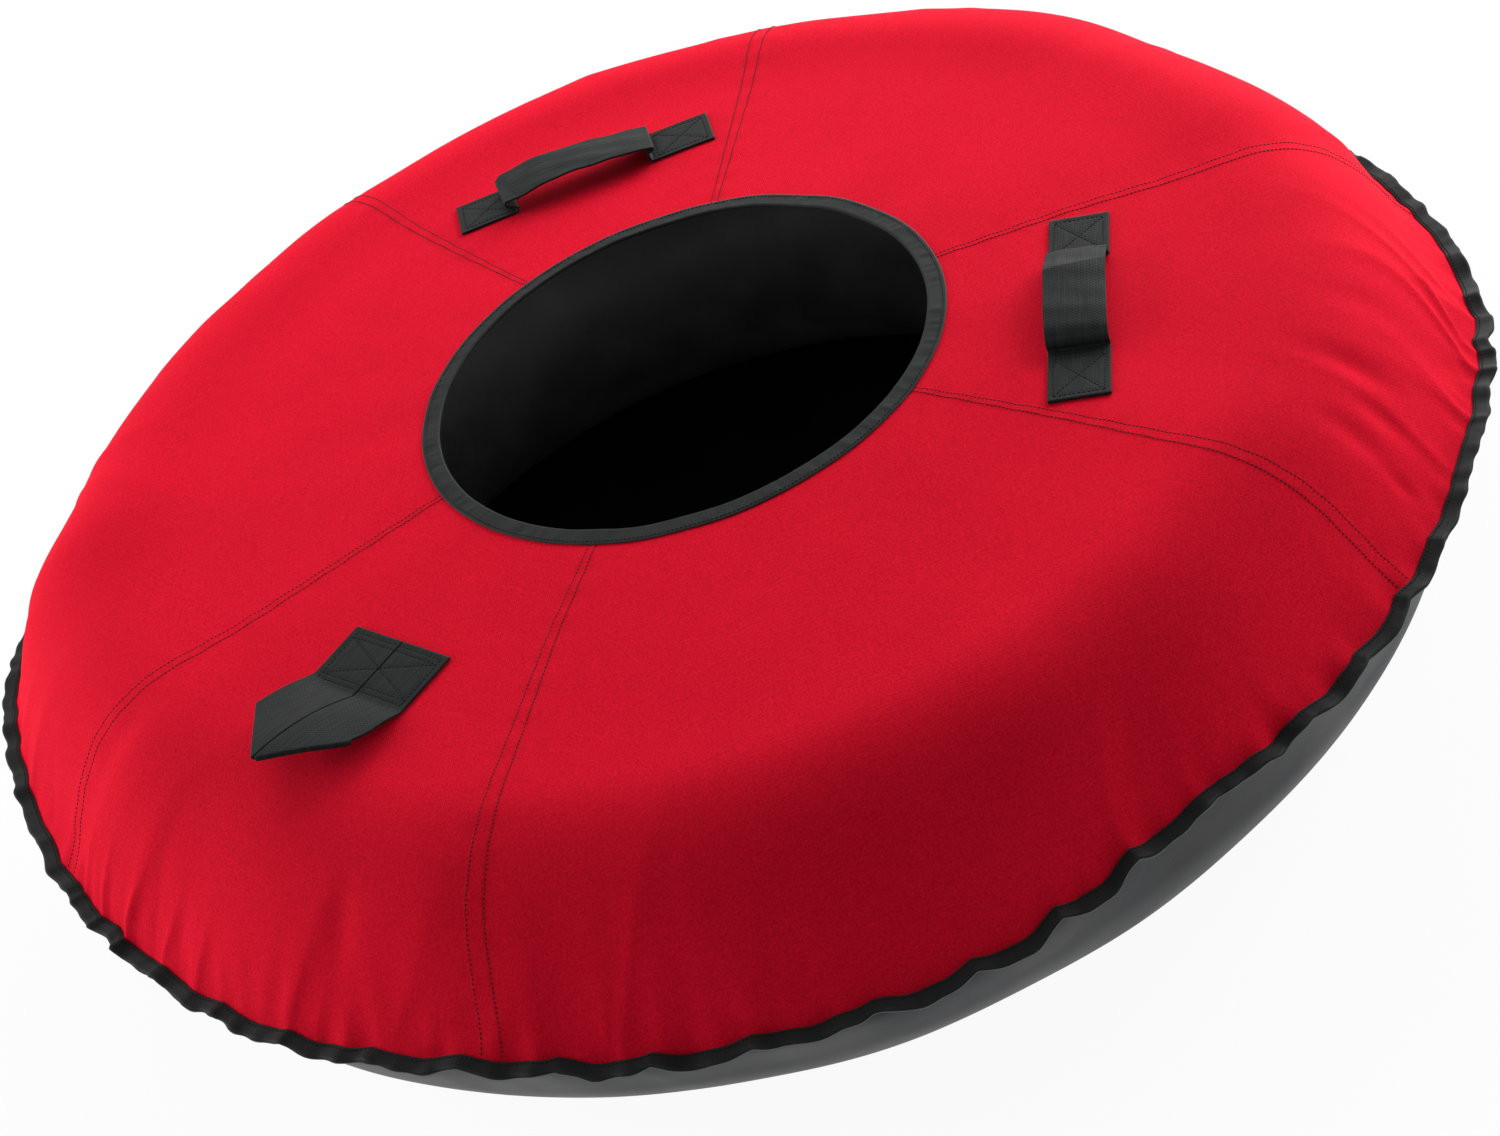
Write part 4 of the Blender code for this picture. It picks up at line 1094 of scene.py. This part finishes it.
def build_tow_loop(material, sewing):
    """One length of webbing: two sewn strands side by side, and a free loop folded twice to a point."""
    places, thickness = across_places()
    across = places + WEBBING_WIDTH / 2 + TOW_SLIT / 2
    outer = WEBBING_WIDTH + TOW_SLIT / 2
    blunt = WEBBING_WIDTH - 0.05 * across          # the slope keeps the rows of the tip apart at the fold
    fold = TOW_STRAND + np.minimum((outer - across) / (1 - TOW_TIP / WEBBING_WIDTH), blunt)
    bend = WEBBING / 2 + SLACK / 2
    level = np.zeros(len(across))
    before_fold = TOW_STRAND - 2 * MM
    columns = []
    for reach in np.linspace(-TOW_BACK - TOW_HINGE, before_fold, 76):
        columns.append((level + reach, across, level))
    for share in np.linspace(0, 1, 26)[1:]:
        columns.append((before_fold + (fold - before_fold) * share, across, level))
    for angle in np.linspace(0, math.pi, 10)[1:]:
        out = bend * math.sin(angle) / math.sqrt(2)
        columns.append((fold + out, across + out, level + bend * (math.cos(angle) - 1)))
    for share in np.linspace(0, 1, 14)[1:]:
        columns.append((fold, across * (1 - share), level - 2 * bend))
    half = np.array(columns).transpose(0, 2, 1)
    flat = np.concatenate([half, half[-2::-1] * (1, -1, 1)])
    lines = box_stitch(*TOW_BOX, TOW_SEWN, TOW_SECOND)
    made = []
    for face in band_faces(flat, thickness):
        sink = stitch_groove(face[..., 0] + TOW_HINGE, face[..., 1], lines) * (face[..., 2] > -2 * MM)
        made.append(tow_points(face[..., 0], face[..., 1], face[..., 2] - sink))
    piece = shell("tow_loop_webbing", made[0], made[1], flat[..., :2], material)
    hinge = lay(TOW_LOOP, np.array([TOW_HINGE - 4 * MM, TOW_HINGE + 6 * MM]), np.zeros(2), WEBBING)
    hinge[:, 2] = hinge[:, 2].mean()
    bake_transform(piece)
    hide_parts("tow_loop", "tow_loop_end_left", "tow_loop_end_right")
    strap_stitches("tow_loop", TOW_LOOP, lines, sewing)


def finish_valve(rubber, brass, plastic):
    """The valve keeps its solids, with the finish of each."""
    for node, material in (("valve_base", rubber), ("valve_stem", brass), ("valve_core", brass),
                           ("valve_pin", brass), ("valve_cap", plastic)):
        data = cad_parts[node].data
        data.materials.clear()
        data.materials.append(material)


# Stage

def add_camera():
    """The photograph's view: from in front and above, rolled so that the tube's left side is low."""
    data = bpy.data.cameras.new("camera")
    data.lens = CAMERA_LENS
    camera = bpy.data.objects.new("camera", data)
    across = np.array([1.0, 0.0, 0.0])
    upward = np.array([0.0, math.sin(CAMERA_TILT), math.cos(CAMERA_TILT)])
    ahead = np.array([0.0, math.cos(CAMERA_TILT), -math.sin(CAMERA_TILT)])
    turn = np.eye(4)
    turn[:3, 0] = math.cos(CAMERA_ROLL) * across - math.sin(CAMERA_ROLL) * upward
    turn[:3, 1] = math.sin(CAMERA_ROLL) * across + math.cos(CAMERA_ROLL) * upward
    turn[:3, 2] = -ahead
    turn[:3, 3] = CAMERA_PLACE
    camera.matrix_world = Matrix(turn)
    bpy.context.scene.collection.objects.link(camera)
    bpy.context.scene.camera = camera


def add_light(name, azimuth, elevation, width, height, share):
    """A soft light that faces the tube. share is the brightness that it gives a white face square to it."""
    data = bpy.data.lights.new(name, "AREA")
    data.shape = "RECTANGLE"
    data.size, data.size_y = width, height
    data.energy = share * (math.pi * LIGHT_DISTANCE) ** 2
    lamp = bpy.data.objects.new(name, data)
    azimuth, elevation = math.radians(azimuth), math.radians(elevation)
    level = math.cos(elevation)
    away = np.array([math.cos(azimuth) * level, math.sin(azimuth) * level, math.sin(elevation)])
    lamp.location = away * LIGHT_DISTANCE + (0, 0, TUBE_MIDDLE)
    lamp.rotation_mode = "QUATERNION"
    lamp.rotation_quaternion = Vector(away).to_track_quat("Z", "Y")
    bpy.context.scene.collection.objects.link(lamp)


def seen_plainly(material):
    """1 for what the camera sees straight, in gloss or through glass, and 0 for the light on the object."""
    path = add_node(material, "ShaderNodeLightPath")
    seen = path.outputs["Is Camera Ray"]
    for ray in ("Is Glossy Ray", "Is Transmission Ray"):
        both = add_node(material, "ShaderNodeMath", {0: seen, 1: path.outputs[ray]}, operation="MAXIMUM")
        seen = both.outputs[0]
    return seen


def add_world():
    """Pale even surroundings, pure white to the camera, in gloss and through glass."""
    world = bpy.data.worlds.new("studio")
    world.use_nodes = True
    bpy.context.scene.world = world
    strength = add_node(world, "ShaderNodeMapRange",
                        {"Value": seen_plainly(world), "To Min": WORLD_STRENGTH, "To Max": 1.0}).outputs[0]
    back = world.node_tree.nodes["Background"]
    back.inputs["Color"].default_value = (1, 1, 1, 1)
    world.node_tree.links.new(strength, back.inputs["Strength"])


def add_floor():
    """A white floor that the camera sees as white, with only a trace of the tube's shadow."""
    material, shader = finish_material("matt_white_floor", 0.9, Base_Color=linear("f4f4f4"))
    glow = add_node(material, "ShaderNodeEmission", {"Color": (1, 1, 1, 1), "Strength": 1.0})
    plain = {0: seen_plainly(material), 1: FLOOR_PLAIN}
    share = add_node(material, "ShaderNodeMath", plain, operation="MULTIPLY")
    layers = {0: share.outputs[0], 1: shader.outputs[0], 2: glow.outputs[0]}
    mixed = add_node(material, "ShaderNodeMixShader", layers)
    output = material.node_tree.nodes["Material Output"]
    material.node_tree.links.new(mixed.outputs[0], output.inputs["Surface"])
    corners = [(x * FLOOR_REACH, y * FLOOR_REACH, 0) for x, y in ((-1, -1), (1, -1), (1, 1), (-1, 1))]
    mesh = bpy.data.meshes.new("floor")
    mesh.from_pydata(corners, [], [(0, 1, 2, 3)])
    mesh.materials.append(material)
    floor = bpy.data.objects.new("floor", mesh)
    floor.location.z = -FLOOR_DROP
    bpy.context.scene.collection.objects.link(floor)


def main():
    """Camera, then the pieces with their materials, then the surroundings."""
    add_camera()
    oxford, webbing, tape = woven_oxford(), polyester_webbing(), bias_tape("woven_polyester_bias_tape")
    edge_tape = bias_tape("edge_bias_tape_painted_fold_highlight", EDGE_FOLD)
    rubber, brass, plastic = butyl_rubber(), turned_brass(), moulded_cap()
    dark = thread()
    build_gores(oxford, dark)
    build_hole_binding(tape, dark)
    build_edge_binding(edge_tape, dark)
    build_bottom(coated_fabric())
    build_tube(rubber)
    back = ((BACK_GRIP_INNER, BACK_INNER_RADII), (BACK_GRIP_OUTER, BACK_OUTER_RADII))
    right = ((RIGHT_GRIP_INNER, RIGHT_RADII), (RIGHT_GRIP_OUTER, RIGHT_RADII))
    build_handle("back_handle", BACK_HANDLE, back, -1, 1.0, webbing, dark)
    build_handle("right_handle", RIGHT_HANDLE, right, 1, 0.95, webbing, dark)
    build_tow_loop(webbing, dark)
    finish_valve(rubber, brass, plastic)
    add_world()
    add_floor()
    for name, settings in LIGHTS.items():
        add_light(name, *settings)
    bpy.context.scene.view_settings.view_transform = "Standard"


main()
